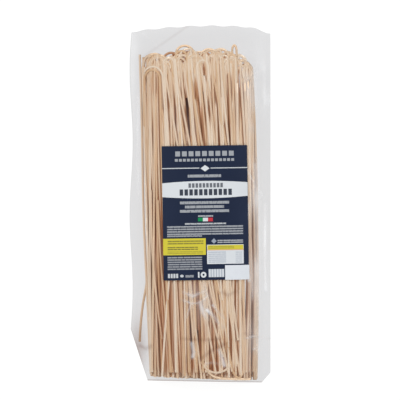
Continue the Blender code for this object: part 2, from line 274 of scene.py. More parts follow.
@dataclass(frozen=True)
class BagShape:
    """Outline and thickness of the filled bag, in millimetres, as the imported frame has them.

    Only the base that the strands stand on differs: it lies up to 1.2 mm lower here. A
    pair of a place and a slope gives a straight line: the folded corners, the bundle's
    left edge and that base.
    """

    half_width: float = 55.8
    top: float = 141.2
    base: float = -140.42
    base_slope: float = -0.018
    side_wave: float = 1.2
    side_wave_length: float = 115.0
    side_wave_crest: float = 106.0
    top_wave: float = 0.45
    top_wave_length: float = 17.4
    top_crest: float = 9.5
    top_arch: float = 3.8
    top_corner_drop: float = 3.2
    left_chamfer: tuple[float, float] = (-41.2, 0.33)
    right_chamfer: tuple[float, float] = (49.7, 0.87)
    above: float = 16.5
    below: float = 11.0
    bundle_left: tuple[float, float] = (-44.3, -0.029)
    bundle_right: float = 47.7
    bundle_right_widest: float = -60.0
    bundle_right_curve: float = 0.00016
    bundle_base_line: tuple[float, float] = (-138.3, -0.036)
    front_roundness: float = 2.8
    back_roundness: float = 5.0
    loops: float = 123.0
    loops_drop_left: float = 4.5
    loops_drop_right: float = 19.0
    taper: tuple[float, float] = (92.0, 136.0)
    taper_power: float = 2.2
    margin_half_thickness: float = 0.4
    margin_wedge: float = 2.2
    margin_wedge_length: float = 1.6
    margin_droop: float = 2.0
    flap_droop: float = 3.0
    base_wall: float = 1.0

    def film_left(self, y: Array) -> Array:
        """The film's left edge: a slow wave that runs in to the base's folded corner."""
        wave = self.side_wave * np.cos(2 * math.pi * (y - self.side_wave_crest) / self.side_wave_length)
        foot, slope = self.left_chamfer
        return np.maximum(-(self.half_width - self.side_wave) - wave, foot - slope * (y - self.base))

    def film_right(self, y: Array) -> Array:
        """The film's right edge: straight, then in to the base's folded corner."""
        foot, slope = self.right_chamfer
        return np.minimum(self.half_width, foot + slope * (y - self.base))

    def film_top(self, x: Array) -> Array:
        """The film's cut top edge: a low arch with small waves, lower at its right corner."""
        wave = self.top_wave * np.cos(2 * math.pi * (x - self.top_crest) / self.top_wave_length)
        corner = self.top_corner_drop * smoothstep((x / self.half_width - 0.68) / 0.32)
        return self.top - self.top_arch * ((x - self.top_crest) / self.half_width) ** 2 + wave - corner

    def film_base(self, x: Array) -> Array:
        """The film's base edge, a straight line."""
        return self.base + self.base_slope * x

    def bundle_sides(self, y: Array) -> tuple[Array, Array]:
        """The bundle's left and right edge at y."""
        left = self.bundle_left[0] + self.bundle_left[1] * y
        right = self.bundle_right - self.bundle_right_curve * (y - self.bundle_right_widest) ** 2
        return left, right

    def share(self, x: Array, y: Array) -> Array:
        """Place across the bundle, from -1 at its left edge to 1 at its right one."""
        left, right = self.bundle_sides(y)
        return (2 * x - left - right) / (right - left)

    def across(self, share: Array, y: Array) -> Array:
        """x of a place across the bundle."""
        left, right = self.bundle_sides(y)
        return (left + right + share * (right - left)) / 2

    def bundle_base(self, x: Array) -> Array:
        """Where the strands stand on the folded base."""
        return self.bundle_base_line[0] + self.bundle_base_line[1] * x

    def loop_line(self, x: Array) -> Array:
        """How far up the highest bends reach at x."""
        left = self.loops - self.loops_drop_left * (x / self.bundle_left[0]) ** 2
        right = self.loops - self.loops_drop_right * np.maximum(x / self.bundle_right, 0) ** 3
        return np.where(x < 0, left, right)

    def fullness(self, x: Array, y: Array) -> Array:
        """1 where the bag is full, falling to 0 at its flat top and past its base wall."""
        taper = np.clip((y - self.taper[0]) / (self.taper[1] - self.taper[0]), 0.0, 1.0)
        wall = np.clip((y - self.bundle_base(x)) / self.base_wall + 1.0, 0.0, 1.0)
        return (1.0 - taper**self.taper_power) * np.sqrt(wall)

    def middle(self, x: Array, y: Array) -> Array:
        """Height of the side margins, which droop towards the edge and at the top.

        Args:
            x: Places across the bag.
            y: Places along the bag.

        Returns:
            The height of the margin's middle.
        """
        left, right = self.bundle_sides(y)
        outside = np.maximum(np.maximum(left - x, x - right), 0.0)
        reach = np.maximum(np.maximum(left - self.film_left(y), self.film_right(y) - right), 1.0)
        flap = smoothstep((y - self.loops) / (self.top - self.loops))
        margin = math.hypot(self.below, self.margin_half_thickness + self.margin_wedge)
        return margin - self.margin_droop * smoothstep(outside / reach) - self.flap_droop * flap

    def faces(self, x: Array, y: Array) -> tuple[Array, Array]:
        """Heights of the bag's back and front.

        Over the bundle each face is a superellipse of its distance across. Past the
        bundle's edge only a wedge is left, which thins out exponentially.

        Args:
            x: Places across the bag.
            y: Places along the bag.

        Returns:
            The back's and the front's height.
        """
        left, right = self.bundle_sides(y)
        outside = np.maximum(np.maximum(left - x, x - right), 0.0)
        share = np.clip(np.abs(self.share(x, y)), 0.0, 1.0)
        full = self.fullness(x, y)
        wedge = full * self.margin_wedge * np.exp(-outside / self.margin_wedge_length)
        margin = self.margin_half_thickness + wedge
        front = full * self.above * (1 - share**self.front_roundness) ** (1 / self.front_roundness)
        back = full * self.below * (1 - share**self.back_roundness) ** (1 / self.back_roundness)
        middle = self.middle(x, y)
        return middle - np.hypot(back, margin), middle + np.hypot(front, margin)


BAG = BagShape()


class HeightMap:
    """Height of the top of what lies in the bag, on a grid over the XY plane."""

    LOW = (-60.0, -144.0)
    HIGH = (60.0, 144.0)

    def __init__(self, surface: Surface, pitch: tuple[float, float] = (0.3, 1.0)) -> None:
        """Starts the map.

        Args:
            surface: Height of the bare ground at x, y.
            pitch: Grid spacing along X and Y.
        """
        self.pitch = pitch
        self.x = np.arange(self.LOW[0], self.HIGH[0], pitch[0])
        self.y = np.arange(self.LOW[1], self.HIGH[1], pitch[1])
        self.height = surface(*np.meshgrid(self.x, self.y))

    def _ball(self, line: Array, radius: float) -> tuple[Array, Array, Array]:
        """Grid cells under a ball at each point of a line.

        Args:
            line: x and y of the points.
            radius: The ball's radius.

        Returns:
            The cells' rows and columns, and the ball's half height over each.
        """
        reach_x, reach_y = (int(radius / step) + 1 for step in self.pitch)
        dj, di = np.meshgrid(range(-reach_y, reach_y + 1), range(-reach_x, reach_x + 1), indexing="ij")
        columns = np.rint((line[:, 0] - self.LOW[0]) / self.pitch[0]).astype(int)[:, None] + di.ravel()
        rows = np.rint((line[:, 1] - self.LOW[1]) / self.pitch[1]).astype(int)[:, None] + dj.ravel()
        columns = np.clip(columns, 0, len(self.x) - 1)
        rows = np.clip(rows, 0, len(self.y) - 1)
        away = (self.x[columns] - line[:, :1]) ** 2 + (self.y[rows] - line[:, 1:2]) ** 2
        half = np.sqrt(np.maximum(radius**2 - away, 0.0))
        return rows, columns, np.where(away < radius**2, half, -np.inf)

    def rest(self, line: Array, radius: float) -> Array:
        """Height at which a ball of that radius rests at each point of a line."""
        rows, columns, half = self._ball(line, radius)
        return (self.height[rows, columns] + half).max(axis=1)

    def lay(self, line: Array, heights: Array, radius: float) -> None:
        """Adds a round strand, with its centre line at the given heights, to the map."""
        rows, columns, half = self._ball(line, radius)
        np.maximum.at(self.height, (rows, columns), heights[:, None] + half)

    def raise_to(self, surface: Surface) -> None:
        """Lifts the map to a surface where that stands higher."""
        self.height = np.maximum(self.height, surface(*np.meshgrid(self.x, self.y)))

    def sample(self, x: Array, y: Array) -> Array:
        """The map's height at any points, interpolated between the grid's."""
        u = np.clip((x - self.LOW[0]) / self.pitch[0], 0, len(self.x) - 1.001)
        v = np.clip((y - self.LOW[1]) / self.pitch[1], 0, len(self.y) - 1.001)
        return interpolate(self.height, u, v)


@dataclass(frozen=True)
class Core:
    """The filled middle of the bundle, which the outer layers of strands cover.

    Args:
        front_depth: How far it lies below the bag's front.
        back_depth: How far it lies above the bag's back.
        width: Its share of the bundle's width.
        top: y where it has run out.
        foot: How far it starts above the bundle's base.
        roundness: Exponent of its superellipse across.
        runs: Lengths over which it grows from its foot and shrinks to its top.
        rings: Rings of its mesh.
        sides: Vertices in each.
    """

    front_depth: float = 7.0
    back_depth: float = 4.2
    width: float = 0.72
    top: float = 92.0
    foot: float = 14.0
    roundness: float = 3.0
    runs: tuple[float, float] = (2.0, 14.0)
    rings: int = 90
    sides: int = 48

    def faces(self, x: Array, y: Array) -> tuple[Array, Array]:
        """Heights of the core's underside and upper side, which meet where it ends.

        The bag's own faces, moved in, are drawn towards the core's middle height by a
        superellipse across and by the square root of the distance at either end.

        Args:
            x: Places across the bag.
            y: Places along the bag.

        Returns:
            The underside's and the upper side's height.
        """
        back, front = BAG.faces(x, y)
        middle = BAG.middle(x, y)
        share = np.clip(np.abs(BAG.share(x, y)) / self.width, 0.0, 1.0)
        upper_end = np.clip((self.top - y) / self.runs[1], 0.0, 1.0)
        lower_end = np.clip((y - BAG.bundle_base(x) - self.foot) / self.runs[0], 0.0, 1.0)
        size = (1 - share**self.roundness) ** (1 / self.roundness) * np.sqrt(upper_end * lower_end)
        low = middle - np.maximum(middle - back - self.back_depth, 0.0) * size
        high = middle + np.maximum(front - self.front_depth - middle, 0.0) * size
        return low, high

    def upper(self, x: Array, y: Array) -> Array:
        """What strands can lie on: its upper side, or nothing beyond its outline."""
        low, high = self.faces(x, y)
        return np.where(high > low + 0.01, high, -np.inf)

    def build(self) -> bpy.types.Object:
        """Makes the core as a closed mesh: rings of places across, from foot to top.

        Returns:
            The object.
        """
        angle = np.linspace(0.0, 2 * math.pi, self.sides, endpoint=False)
        foot = float(BAG.bundle_base(np.array(0.0))) + self.foot
        y = np.linspace(foot, self.top, self.rings)[:, None] + 0 * angle[None, :]
        x = BAG.across(self.width * np.cos(angle)[None, :], y)
        low, high = self.faces(x, y)
        z = np.where(np.sin(angle)[None, :] > 0, high, low)
        walls, caps = tube_faces(self.rings, self.sides)
        return add_piece("strand_core", np.stack([x, y, z], axis=-1).reshape(-1, 3), walls.tolist() + caps)


CORE = Core()


@dataclass
class Strand:
    """One piece of spaghetti.

    Args:
        line: Its centre line, with a point for about each millimetre.
        bends: Which points lie in a bend.
        radius: Its radius.
        tone: Its place from 0, pale, to 1, golden.
    """

    line: Array
    bends: Array
    radius: float
    tone: float


def bend(start: Array, end: Array, rise: float) -> Array:
    """Half an ellipse from start to end, without them, with a point for each millimetre.

    Args:
        start: x and y where the bend begins.
        end: x and y where it ends.
        rise: How far its apex stands above them, negative for a bend that hangs down.

    Returns:
        The points between.
    """
    half = (end[0] - start[0]) / 2
    count = max(int(2.6 * math.hypot(half, rise)), 9)
    angle = np.linspace(0.0, math.pi, count + 2)[1:-1]
    x = (start[0] + end[0]) / 2 - half * np.cos(angle)
    y = start[1] + (end[1] - start[1]) * angle / math.pi + rise * np.sin(angle)
    return np.column_stack([x, y])


@dataclass(frozen=True)
class TracedStrand:
    """A strand that stands out in the photograph, by a few pixels that it runs through.

    Args:
        pixels: Two points for a straight strand, and more for a bent one.
        lift: How far it stands proud of where it would rest, in millimetres.
        sink: How far each end dives in between the others.
    """

    pixels: tuple[tuple[float, float], ...]
    lift: float = 0.0
    sink: tuple[float, float] = (0.0, 0.0)


@dataclass(frozen=True)
class TracedBend:
    """A bend at the top that stands out in the photograph.

    Args:
        apex: Pixel of the bend's apex.
        width: Pixels between its two legs.
        feet: Pixel columns of the legs' other ends.
        foot_row: Pixel row of those ends.
        rise: The bend's height as a share of half its width.
        lift: How far the bend stands proud, in millimetres.
    """

    apex: tuple[float, float]
    width: float
    feet: tuple[float, float]
    foot_row: float = 372.0
    rise: float = 1.15
    lift: float = 0.0


TOP_BENDS = (
    TracedBend((184.8, 46.0), 17.5, (190.0, 203.0), rise=0.95),
    TracedBend((181.2, 51.5), 11.0, (189.0, 197.0), rise=1.0),
    TracedBend((209.0, 49.5), 18.0, (208.0, 222.0), rise=1.1),
    TracedBend((221.0, 49.3), 14.0, (222.0, 233.0), rise=1.0),
    TracedBend((228.0, 52.5), 12.0, (229.0, 238.0), rise=1.1),
    TracedBend((153.7, 54.6), 22.0, (147.0, 181.0), rise=1.0),
    TracedBend((157.0, 57.5), 15.0, (152.0, 176.0), rise=1.0),
    TracedBend((166.0, 58.0), 13.0, (170.0, 196.0), rise=1.1),
    TracedBend((196.5, 56.0), 15.0, (206.0, 220.0), rise=1.0),
    TracedBend((234.3, 45.5), 4.4, (240.0, 243.5), rise=2.8),
    TracedBend((241.0, 56.5), 10.0, (240.0, 249.0), rise=1.2),
    TracedBend((248.0, 66.0), 7.5, (246.0, 253.0), rise=1.3),
)

LEFT_LOOPS = (
    TracedBend((152.3, 70.2), 15.5, (147.0, 171.0), rise=1.1, lift=0.5),
    TracedBend((152.7, 66.8), 20.5, (145.5, 176.0), rise=1.15, lift=0.9),
)

LONG_STRANDS = (
    TracedStrand(((139.6, 54.3), (141.6, 120.0), (143.6, 220.0), (147.4, 300.0), (150.8, 374.0))),
    TracedStrand(((164.9, 70.0), (216.0, 374.0))),
    TracedStrand(((174.0, 65.0), (191.0, 152.0), (213.0, 290.0), (228.0, 372.0))),
    TracedStrand(((170.5, 60.0), (186.0, 150.0), (203.0, 371.0))),
    TracedStrand(((183.8, 68.0), (232.0, 371.0))),
    TracedStrand(((194.5, 99.7), (240.0, 375.0))),
    TracedStrand(((190.4, 70.6), (222.0, 340.0))),
    TracedStrand(((201.0, 66.0), (238.0, 340.0))),
    TracedStrand(((204.2, 76.0), (222.0, 300.0))),
    TracedStrand(((205.0, 55.0), (212.0, 118.0), (236.0, 374.0))),
    TracedStrand(((212.3, 70.6), (226.0, 145.0), (246.0, 370.0))),
    TracedStrand(((216.4, 69.0), (236.0, 366.0))),
    TracedStrand(((222.0, 97.6), (229.0, 377.0))),
    TracedStrand(((228.0, 57.0), (244.0, 372.0))),
    TracedStrand(((237.0, 83.0), (241.0, 376.0))),
    TracedStrand(((158.0, 200.0), (163.4, 290.0), (173.0, 372.0))),
    TracedStrand(((151.0, 190.0), (155.7, 290.0), (162.3, 339.0))),
    TracedStrand(((172.0, 190.0), (175.0, 281.0), (177.5, 372.0))),
    TracedStrand(((178.0, 200.0), (181.0, 285.0), (185.0, 375.0))),
    TracedStrand(((183.0, 200.0), (190.4, 281.0), (201.6, 378.0))),
    TracedStrand(((225.0, 200.0), (228.0, 281.0), (237.0, 364.0))),
    TracedStrand(((196.0, 220.0), (207.8, 297.0), (223.0, 356.6))),
    TracedStrand(((205.0, 230.0), (208.8, 281.0), (215.0, 308.0))),
    TracedStrand(((174.5, 220.0), (169.0, 281.0), (162.3, 376.0)), 0.5),
)

BASE_BENDS = (
    TracedStrand(
        ((201.0, 350.0), (205.0, 366.5), (211.5, 374.5), (220.0, 377.6), (231.0, 378.3), (250.0, 378.8)),
        sink=(4.0, 1.5),
    ),
    TracedStrand(
        ((200.5, 352.0), (204.5, 366.5), (212.0, 371.6), (221.5, 371.4), (228.5, 366.8), (231.5, 358.0)),
        sink=(4.5, 4.5),
    ),
    TracedStrand(
        (
            *((212.0, 235.0), (217.0, 281.0), (222.0, 304.0), (227.5, 342.0), (231.0, 363.0)),
            *((234.2, 373.5), (238.5, 377.6), (242.2, 373.5), (242.8, 364.0), (241.5, 352.0)),
        ),
        sink=(0.0, 4.0),
    ),
)

OVER_STRANDS = (TracedStrand(((154.8, 54.5), (154.5, 150.0), (152.0, 371.0)), 0.4),)


@dataclass(frozen=True)
class Hollow:
    """A stretch of the bundle's front where the strands lie deeper.

    Args:
        centre: Its middle in the photograph.
        size: Half width and half height in pixels.
        depth: How much deeper they lie, in millimetres.
    """

    centre: tuple[float, float]
    size: tuple[float, float]
    depth: float


HOLLOWS = (
    Hollow((147.5, 105.0), (2.2, 32.0), 3.0),
    Hollow((160.0, 112.0), (2.0, 38.0), 3.5),
    Hollow((153.0, 84.0), (8.0, 12.0), 3.0),
    Hollow((176.0, 115.0), (2.0, 10.0), 4.0),
    Hollow((185.5, 117.0), (1.8, 12.0), 6.0),
    Hollow((168.5, 100.0), (1.6, 16.0), 4.0),
    Hollow((230.5, 92.0), (1.8, 16.0), 4.5),
    Hollow((209.5, 112.0), (1.7, 16.0), 5.0),
    Hollow((195.5, 92.0), (2.4, 10.0), 5.0),
    Hollow((204.2, 73.0), (2.2, 9.0), 5.0),
    Hollow((201.5, 130.0), (2.4, 22.0), 7.0),
    Hollow((224.0, 137.0), (1.8, 14.0), 5.0),
    Hollow((190.0, 140.0), (1.7, 11.0), 5.0),
    Hollow((215.0, 96.0), (1.8, 10.0), 4.0),
    Hollow((238.5, 98.0), (2.4, 34.0), 3.5),
    Hollow((216.5, 303.0), (2.0, 9.0), 5.0),
    Hollow((221.5, 352.0), (2.2, 8.0), 5.0),
    Hollow((204.0, 333.0), (2.5, 14.0), 3.0),
)

STRAY = TracedStrand(((148.0, 262.0), (146.5, 283.0), (142.6, 306.0), (139.6, 342.0)))


@dataclass
class StrandBundle:
    """All the spaghetti in the bag, laid down strand by strand from the back to the front.

    Args:
        diameter: Of one strand.
        diameter_spread: Standard deviation of the diameter.
        stiffness: How little a strand sags: its line drops by this times the distance
            squared on either side of a point that it rests on.
        firm: How far below the bag's front the film starts to press on a crest.
        proud: How far a crest may stand above that, at most.
        slack: How much more room the film leaves over the bends at the top, but never
            above the bag's full height.
        painted_flank_shade: How much deeper, in millimetres, a strand's flank counts than its crest for
            the painted shade in its colour.
        lean: How far strands near the front drift to the left up the bundle, at most.
        tries: Places tried for each strand.
        misses: Strands in a row that find no room before a fill ends.
        tones: Mean and deviation of the strands' tone.
        start: How far above the bundle's base the strands start, and how much more on average.
        raised_share: Share of the strands that start higher up.
        raised: How much higher, at least and at most.
        bow: Deviation of a strand's own bow.
        wave: Deviation of its wave.
        seed: Seeds all random draws.
        hollows: Where the strands that are laid now lie deeper.
        strands: What has been laid.
    """

    diameter: float = 1.87
    diameter_spread: float = 0.06
    stiffness: float = 0.0022
    firm: float = 0.7
    proud: float = 1.0
    slack: float = 4.5
    painted_flank_shade: float = 2.4
    lean: float = 36.0
    tries: int = 18
    misses: int = 10
    tones: tuple[float, float] = (0.42, 0.3)
    start: tuple[float, float] = (0.2, 1.0)
    raised_share: float = 0.07
    raised: tuple[float, float] = (5.0, 45.0)
    bow: float = 1.0
    wave: float = 0.35
    seed: int = 12
    hollows: tuple[Hollow, ...] = HOLLOWS
    strands: list[Strand] = field(default_factory=list)

    def __post_init__(self) -> None:
        """Starts the random draws and the height maps of the strands' tops and undersides.

        The second is upside down. It starts 3 mm inside the film's back, so that only
        strands shape it.
        """
        self.rng = np.random.default_rng(self.seed)
        self.map = HeightMap(lambda x, y: BAG.faces(x, y)[0] + 0.2)
        self.under = HeightMap(lambda x, y: -BAG.faces(x, y)[0] - 3.0)

    def settle(self, line: Array, radius: float) -> Array:
        """Heights of a stiff strand that is laid down along a line.

        Each point rests on what is below it or hangs from its neighbours: the height is
        the highest of all points' rest heights, each lowered by the stiffness times the
        squared distance along the line, and is then smoothed a little.

        Args:
            line: x and y of the strand's points.
            radius: The strand's radius.

        Returns:
            The height of the centre line at each point.
        """
        rest = self.map.rest(line, radius)
        along = arc_length(line)
        sag = self.stiffness * (along[:, None] - along[None, :]) ** 2
        height = (rest[None, :] - sag).max(axis=1)
        window = np.hanning(11)[1:-1]
        padded = np.pad(height, len(window) // 2, mode="edge")
        return np.convolve(padded, window / window.sum(), mode="valid")

    def press(self, line: Array, height: Array, radius: float) -> Array:
        """The film's hold: a crest that stands out of the bag is eased down to it.

        In a hollow that limit lies lower, by the hollow's depth times a bell curve.

        Args:
            line: x and y of the strand's points.
            height: Height of its centre line at each.
            radius: The strand's radius.

        Returns:
            The heights, eased down.
        """
        x, y = line[:, 0], line[:, 1]
        slack = self.slack * smoothstep((y - BAG.taper[0]) / 16.0)
        front = np.minimum(BAG.faces(x, y)[1] + slack, BAG.faces(x, 0 * y)[1]) - radius - self.firm
        for hollow in self.hollows:
            front = front - hollow.depth * PHOTO.bell(x, y, hollow.centre, hollow.size)
        out = np.maximum(height - front, 0.0)
        return np.minimum(height, front) + self.proud * (1 - np.exp(-out / self.proud))

    def keep(self, line: Array, height: Array, bends: Array, radius: float) -> None:
        """Lays a strand down for good.

        Args:
            line: x and y of its points.
            height: Height of its centre line at each, before the film's hold.
            bends: Which points lie in a bend.
            radius: Its radius.
        """
        height = self.press(line, height, radius)
        self.map.lay(line, height, radius)
        self.under.lay(line, -height, radius)
        self.strands.append(Strand(np.column_stack([line, height]), bends, radius, self.draw_tone()))

    def draw_radius(self) -> float:
        """Half a diameter drawn at random."""
        return (self.diameter + self.rng.normal(0.0, self.diameter_spread)) / 2

    def draw_tone(self) -> float:
        """A tone drawn at random."""
        return float(np.clip(self.rng.normal(*self.tones), 0.0, 1.0))

    def draw_start(self, x: float) -> float:
        """y of the lower end of a strand at x, drawn at random."""
        return float(BAG.bundle_base(np.array(x))) + self.start[0] + self.rng.exponential(self.start[1])

    def run(self, low: tuple[float, float], high: tuple[float, float]) -> Array:
        """Centre line of a nearly straight strand, as x and y for each millimetre.

        It runs straight between two places across the bundle, so near the bundle's side
        it bows as the side does, with a slight random bow and wave of its own.

        Args:
            low: x and y of its lower end.
            high: x and y of its upper end.

        Returns:
            The points, from the lower end up.
        """
        t = np.linspace(0.0, 1.0, max(int(abs(high[1] - low[1])), 3))
        y = low[1] + (high[1] - low[1]) * t
        first, last = (float(BAG.share(np.array(x), np.array(y))) for x, y in (low, high))
        x = BAG.across(first + (last - first) * t, y)
        bow, wave = self.rng.normal(0.0, self.bow), self.rng.normal(0.0, self.wave)
        x = x + bow * np.sin(math.pi * t) + wave * np.sin(2 * math.pi * t)
        left, right = BAG.bundle_sides(y)
        inset = 1.1 + self.diameter / 2
        return np.column_stack([soft_clamp(x, left + inset, right - inset, 0.6), y])

    def candidate(self, lean: float, bent_share: float) -> tuple[Array, Array]:
        """A strand or a bent pair at a random place, as its line and which points bend.

        Args:
            lean: How much of the drift to the left it takes up, from 0 to 1.
            bent_share: Share of the strands that end in a bend at the top.

        Returns:
            The line and the marks of its points that bend.
        """
        rng = self.rng
        x_mid = rng.uniform(BAG.bundle_left[0], BAG.bundle_right)
        # Strands lean most near the middle of the bundle.
        middle = math.exp(-(((x_mid + 1.0) / 27.0) ** 2))
        drift = -self.lean * middle * lean * rng.uniform(0.15, 1.25) + rng.normal(0.0, 3.0)
        x_low, x_high = x_mid - drift / 2, x_mid + drift / 2
        y_low = self.draw_start(x_low)
        if rng.random() < self.raised_share:
            y_low += rng.uniform(*self.raised)
        # Cut ends and bends stop at a random distance below the highest bends.
        reach = float(BAG.loop_line(np.array(x_high)))
        if rng.random() > bent_share:
            y_high = reach - 1.0 - rng.gamma(1.8, 5.0)
            line = self.run((x_low, y_low), (x_high, y_high))
            return line, np.zeros(len(line), bool)
        width = rng.uniform(5.0, 17.0)
        splay = width * rng.uniform(0.4, 1.0)
        rise = width / 2 * rng.uniform(0.85, 1.4)
        y_high = reach - rng.gamma(1.5, 4.0) - rise
        first = self.run((x_low - splay / 2, y_low), (x_high - width / 2, y_high))
        second = self.run((x_low + splay / 2, y_low), (x_high + width / 2, y_high))
        return self.join(first, second, rise)

    @staticmethod
    def join(first: Array, second: Array, rise: float) -> tuple[Array, Array]:
        """Joins two legs by a bend between their last points.

        Args:
            first: x and y of the first leg's points, from its foot up.
            second: Those of the second leg.
            rise: How far the bend's apex stands above the legs.

        Returns:
            The points of the whole line, and which of them bend.
        """
        arc = bend(first[-1], second[-1], rise)
        line = np.concatenate([first, arc, second[::-1]])
        bends = np.zeros(len(line), bool)
        bends[len(first) - 4 : len(first) + len(arc) + 4] = True
        return line, bends

    def fill(self, ceiling: Surface, lean: float, bent_share: float = 0.3) -> None:
        """Drops strands, each at the lowest of a few random places, up to a ceiling.

        Args:
            ceiling: Height at x, y that the strands' crests stay below.
            lean: How much the strands lean, from 0 to 1.
            bent_share: Share of the strands that end in a bend at the top.
        """
        misses = 0
        while misses < self.misses:
            radius = self.draw_radius()
            best, best_level = None, math.inf
            for _ in range(self.tries):
                line, bends = self.candidate(lean, bent_share)
                coarse = line[::6]
                full = coarse[:, 1] < BAG.taper[0]
                room = ceiling(coarse[:, 0], coarse[:, 1]) - self.settle(coarse, radius) - radius
                level = -room[full].mean()
                # Three quarters of the strand have to fit under the ceiling.
                if np.percentile(room[full], 25) > 0.0 and level < best_level:
                    best, best_level = (line, bends), level
            if best is None:
                misses += 1
                continue
            misses = 0
            self.keep(best[0], self.settle(best[0], radius), best[1], radius)

    def add_short_bends(self, count: int, leg: float) -> None:
        """Bends at the top whose legs soon run out of sight between the others.

        Args:
            count: How many.
            leg: About how long their legs are.
        """
        rng = self.rng
        for _ in range(count):
            x = rng.uniform(BAG.bundle_left[0] + 1.0, BAG.bundle_right - 9.0)
            width = rng.uniform(4.5, 15.0)
            rise = width / 2 * rng.uniform(0.85, 1.5)
            high = float(BAG.loop_line(np.array(x))) - rng.gamma(1.8, 3.6) - rise
            low = high - leg * rng.uniform(0.7, 1.2)
            drift = 0.12 * (high - low) * rng.uniform(0.1, 1.0) * math.exp(-((x / 30.0) ** 2))
            first = self.run((x - width / 2 + drift, low), (x - width / 2, high))
            second = self.run((x + width / 2 + drift, low), (x + width / 2, high))
            line, bends = self.join(first, second, rise)
            t = np.abs(np.linspace(-1.0, 1.0, len(line)))
            self.lay_over(line, bends, -0.4 - 2.6 * smoothstep((t - 0.55) / 0.45))

    def add_bend(self, traced: TracedBend) -> None:
        """Lays one of the photograph's bends on top of what is there.

        Args:
            traced: The bend.
        """
        half = traced.width / 2 * PHOTO.pixel
        rise = traced.rise * half
        x, y, low = PHOTO.x(traced.apex[0]), PHOTO.y(traced.apex[1]), PHOTO.y(traced.foot_row)
        first = self.run((PHOTO.x(traced.feet[0]), low), (x - half, y - rise))
        second = self.run((PHOTO.x(traced.feet[1]), low), (x + half, y - rise))
        line, bends = self.join(first, second, rise)
        self.lay_over(line, bends, traced.lift)

    def add_traced(self, traced: TracedStrand) -> None:
        """Lays one of the photograph's strands on top of what is there.

        Args:
            traced: The strand.
        """
        line = smooth_curve(PHOTO.points(traced.pixels), 1.0)
        heading = np.unwrap(np.arctan2(*np.gradient(line, axis=0).T))
        turning = np.abs(np.gradient(heading)) > 0.012
        bends = np.convolve(turning, np.ones(5), mode="same") > 0
        t = np.linspace(0.0, 1.0, len(line))
        sink = traced.sink[0] * (1 - smoothstep(t / 0.3)) + traced.sink[1] * smoothstep((t - 0.86) / 0.14)
        self.lay_over(line, bends, traced.lift - sink)

    def lay_over(self, line: Array, bends: Array, lift: float | Array) -> None:
        """Settles a strand and lays it down, lifted a little."""
        radius = self.draw_radius()
        self.keep(line, self.press(line, self.settle(line, radius), radius) + lift, bends, radius)

    def add_stubs(self, length: float = 24.0) -> None:
        """The inner strands' ends on the folded base, in a hexagonal packing.

        They fill the core's section 40 mm up the bag, from the base to where they have
        run into the core. Rows of such a packing stand 0.87 of its pitch apart.

        Args:
            length: Of each.
        """
        pitch = 1.04 * self.diameter
        half = BAG.half_width
        for row, z in enumerate(np.arange(0.0, BAG.above + BAG.below, 0.87 * pitch)):
            for x in np.arange(-half + (row % 2) * pitch / 2, half, pitch):
                section = np.array(x), np.array(BAG.base + 40.0)
                low, high = CORE.faces(*section)
                if not low < z < high:
                    continue
                start = self.draw_start(x)
                y = np.linspace(start, start + length, 6)
                drift = self.rng.normal(0.0, 0.15, 2)
                line = np.column_stack([np.full(6, x + drift[0]), y])
                tone = self.draw_tone()
                line = np.column_stack([line, np.full(6, z + drift[1])])
                self.strands.append(Strand(line, np.zeros(6, bool), self.draw_radius(), tone))

    def add_stray(self) -> None:
        """The strand that slipped out into the film's left margin."""
        line = smooth_curve(PHOTO.points(STRAY.pixels), 1.0)
        outside = smoothstep((BAG.bundle_sides(line[:, 1])[0] + 4.0 - line[:, 0]) / 4.0)
        height = self.settle(line, self.diameter / 2)
        height = height + (BAG.middle(line[:, 0], line[:, 1]) + 0.6 - height) * outside
        self.map.lay(line, height, self.diameter / 2)
        self.under.lay(line, -height, self.diameter / 2)
        self.strands.append(
            Strand(np.column_stack([line, height]), np.ones(len(line), bool), self.diameter / 2, 0.75)
        )

    def build(
        self,
        name: str,
        strands: Sequence[Strand],
        depth: Callable[[Array], Array],
        sides: int,
        spacing: int,
    ) -> bpy.types.Object:
        """Meshes strands as closed round tubes in one object.

        A ring stands at every point of a bend and at each spacing-th of a straight
        stretch. Its radius and the ring's angle give each vertex: centre plus radius
        times the cosine along the side vector and the sine along the upward one.

        Args:
            name: The object's name.
            strands: The strands to mesh.
            depth: How deep in the bundle a place is, which sets the painted shade.
            sides: Vertices in each ring.
            spacing: Points from ring to ring on a straight stretch.

        Returns:
            The object, with UVs in metres around and along, each strand's tone, and
            each vertex's depth in millimetres, more on its flanks, which sets the painted shade.
        """
        angle = 2 * math.pi * np.arange(sides) / sides
        cosine, sine = np.cos(angle)[None, :, None], np.sin(angle)[None, :, None]
        verts, walls, caps, uvs, tones = [], [], [], [], []
        start = 0
        for strand in strands:
            index = np.arange(len(strand.line))
            keep = strand.bends | (index % spacing == 0)
            keep[0] = keep[-1] = True
            line = strand.line[keep]
            tangent = np.gradient(line, axis=0)
            tangent /= np.linalg.norm(tangent, axis=1, keepdims=True)
            side = np.cross(tangent, [0.0, 0.0, 1.0])
            side /= np.linalg.norm(side, axis=1, keepdims=True)
            up = np.cross(side, tangent)
            ring = cosine * side[:, None, :] + sine * up[:, None, :]
            verts.append((line[:, None, :] + strand.radius * ring).reshape(-1, 3))
            between, ends = tube_faces(len(line), sides, start)
            walls.append(between)
            caps += ends
            along = arc_length(line)
            around = np.abs(angle - math.pi) * strand.radius
            uv = np.stack(np.broadcast_arrays(around[None, :], along[:, None]), axis=-1)
            uvs.append(uv.reshape(-1, 2))
            tones.append(np.full(len(verts[-1]), strand.tone))
            start += len(verts[-1])
        places = np.concatenate(verts)
        # Painted shade: a strand's flanks count deeper, so they are painted darker than its crest.
        painted_flank_mask = np.tile(1.0 - np.abs(np.sin(angle)), len(places) // sides)
        return add_piece(
            name,
            places,
            np.concatenate(walls).tolist() + caps,
            uv=np.concatenate(uvs),
            sharp=50.0,
            tone=np.concatenate(tones),
            depth=depth(places) + self.painted_flank_shade * painted_flank_mask,
        )


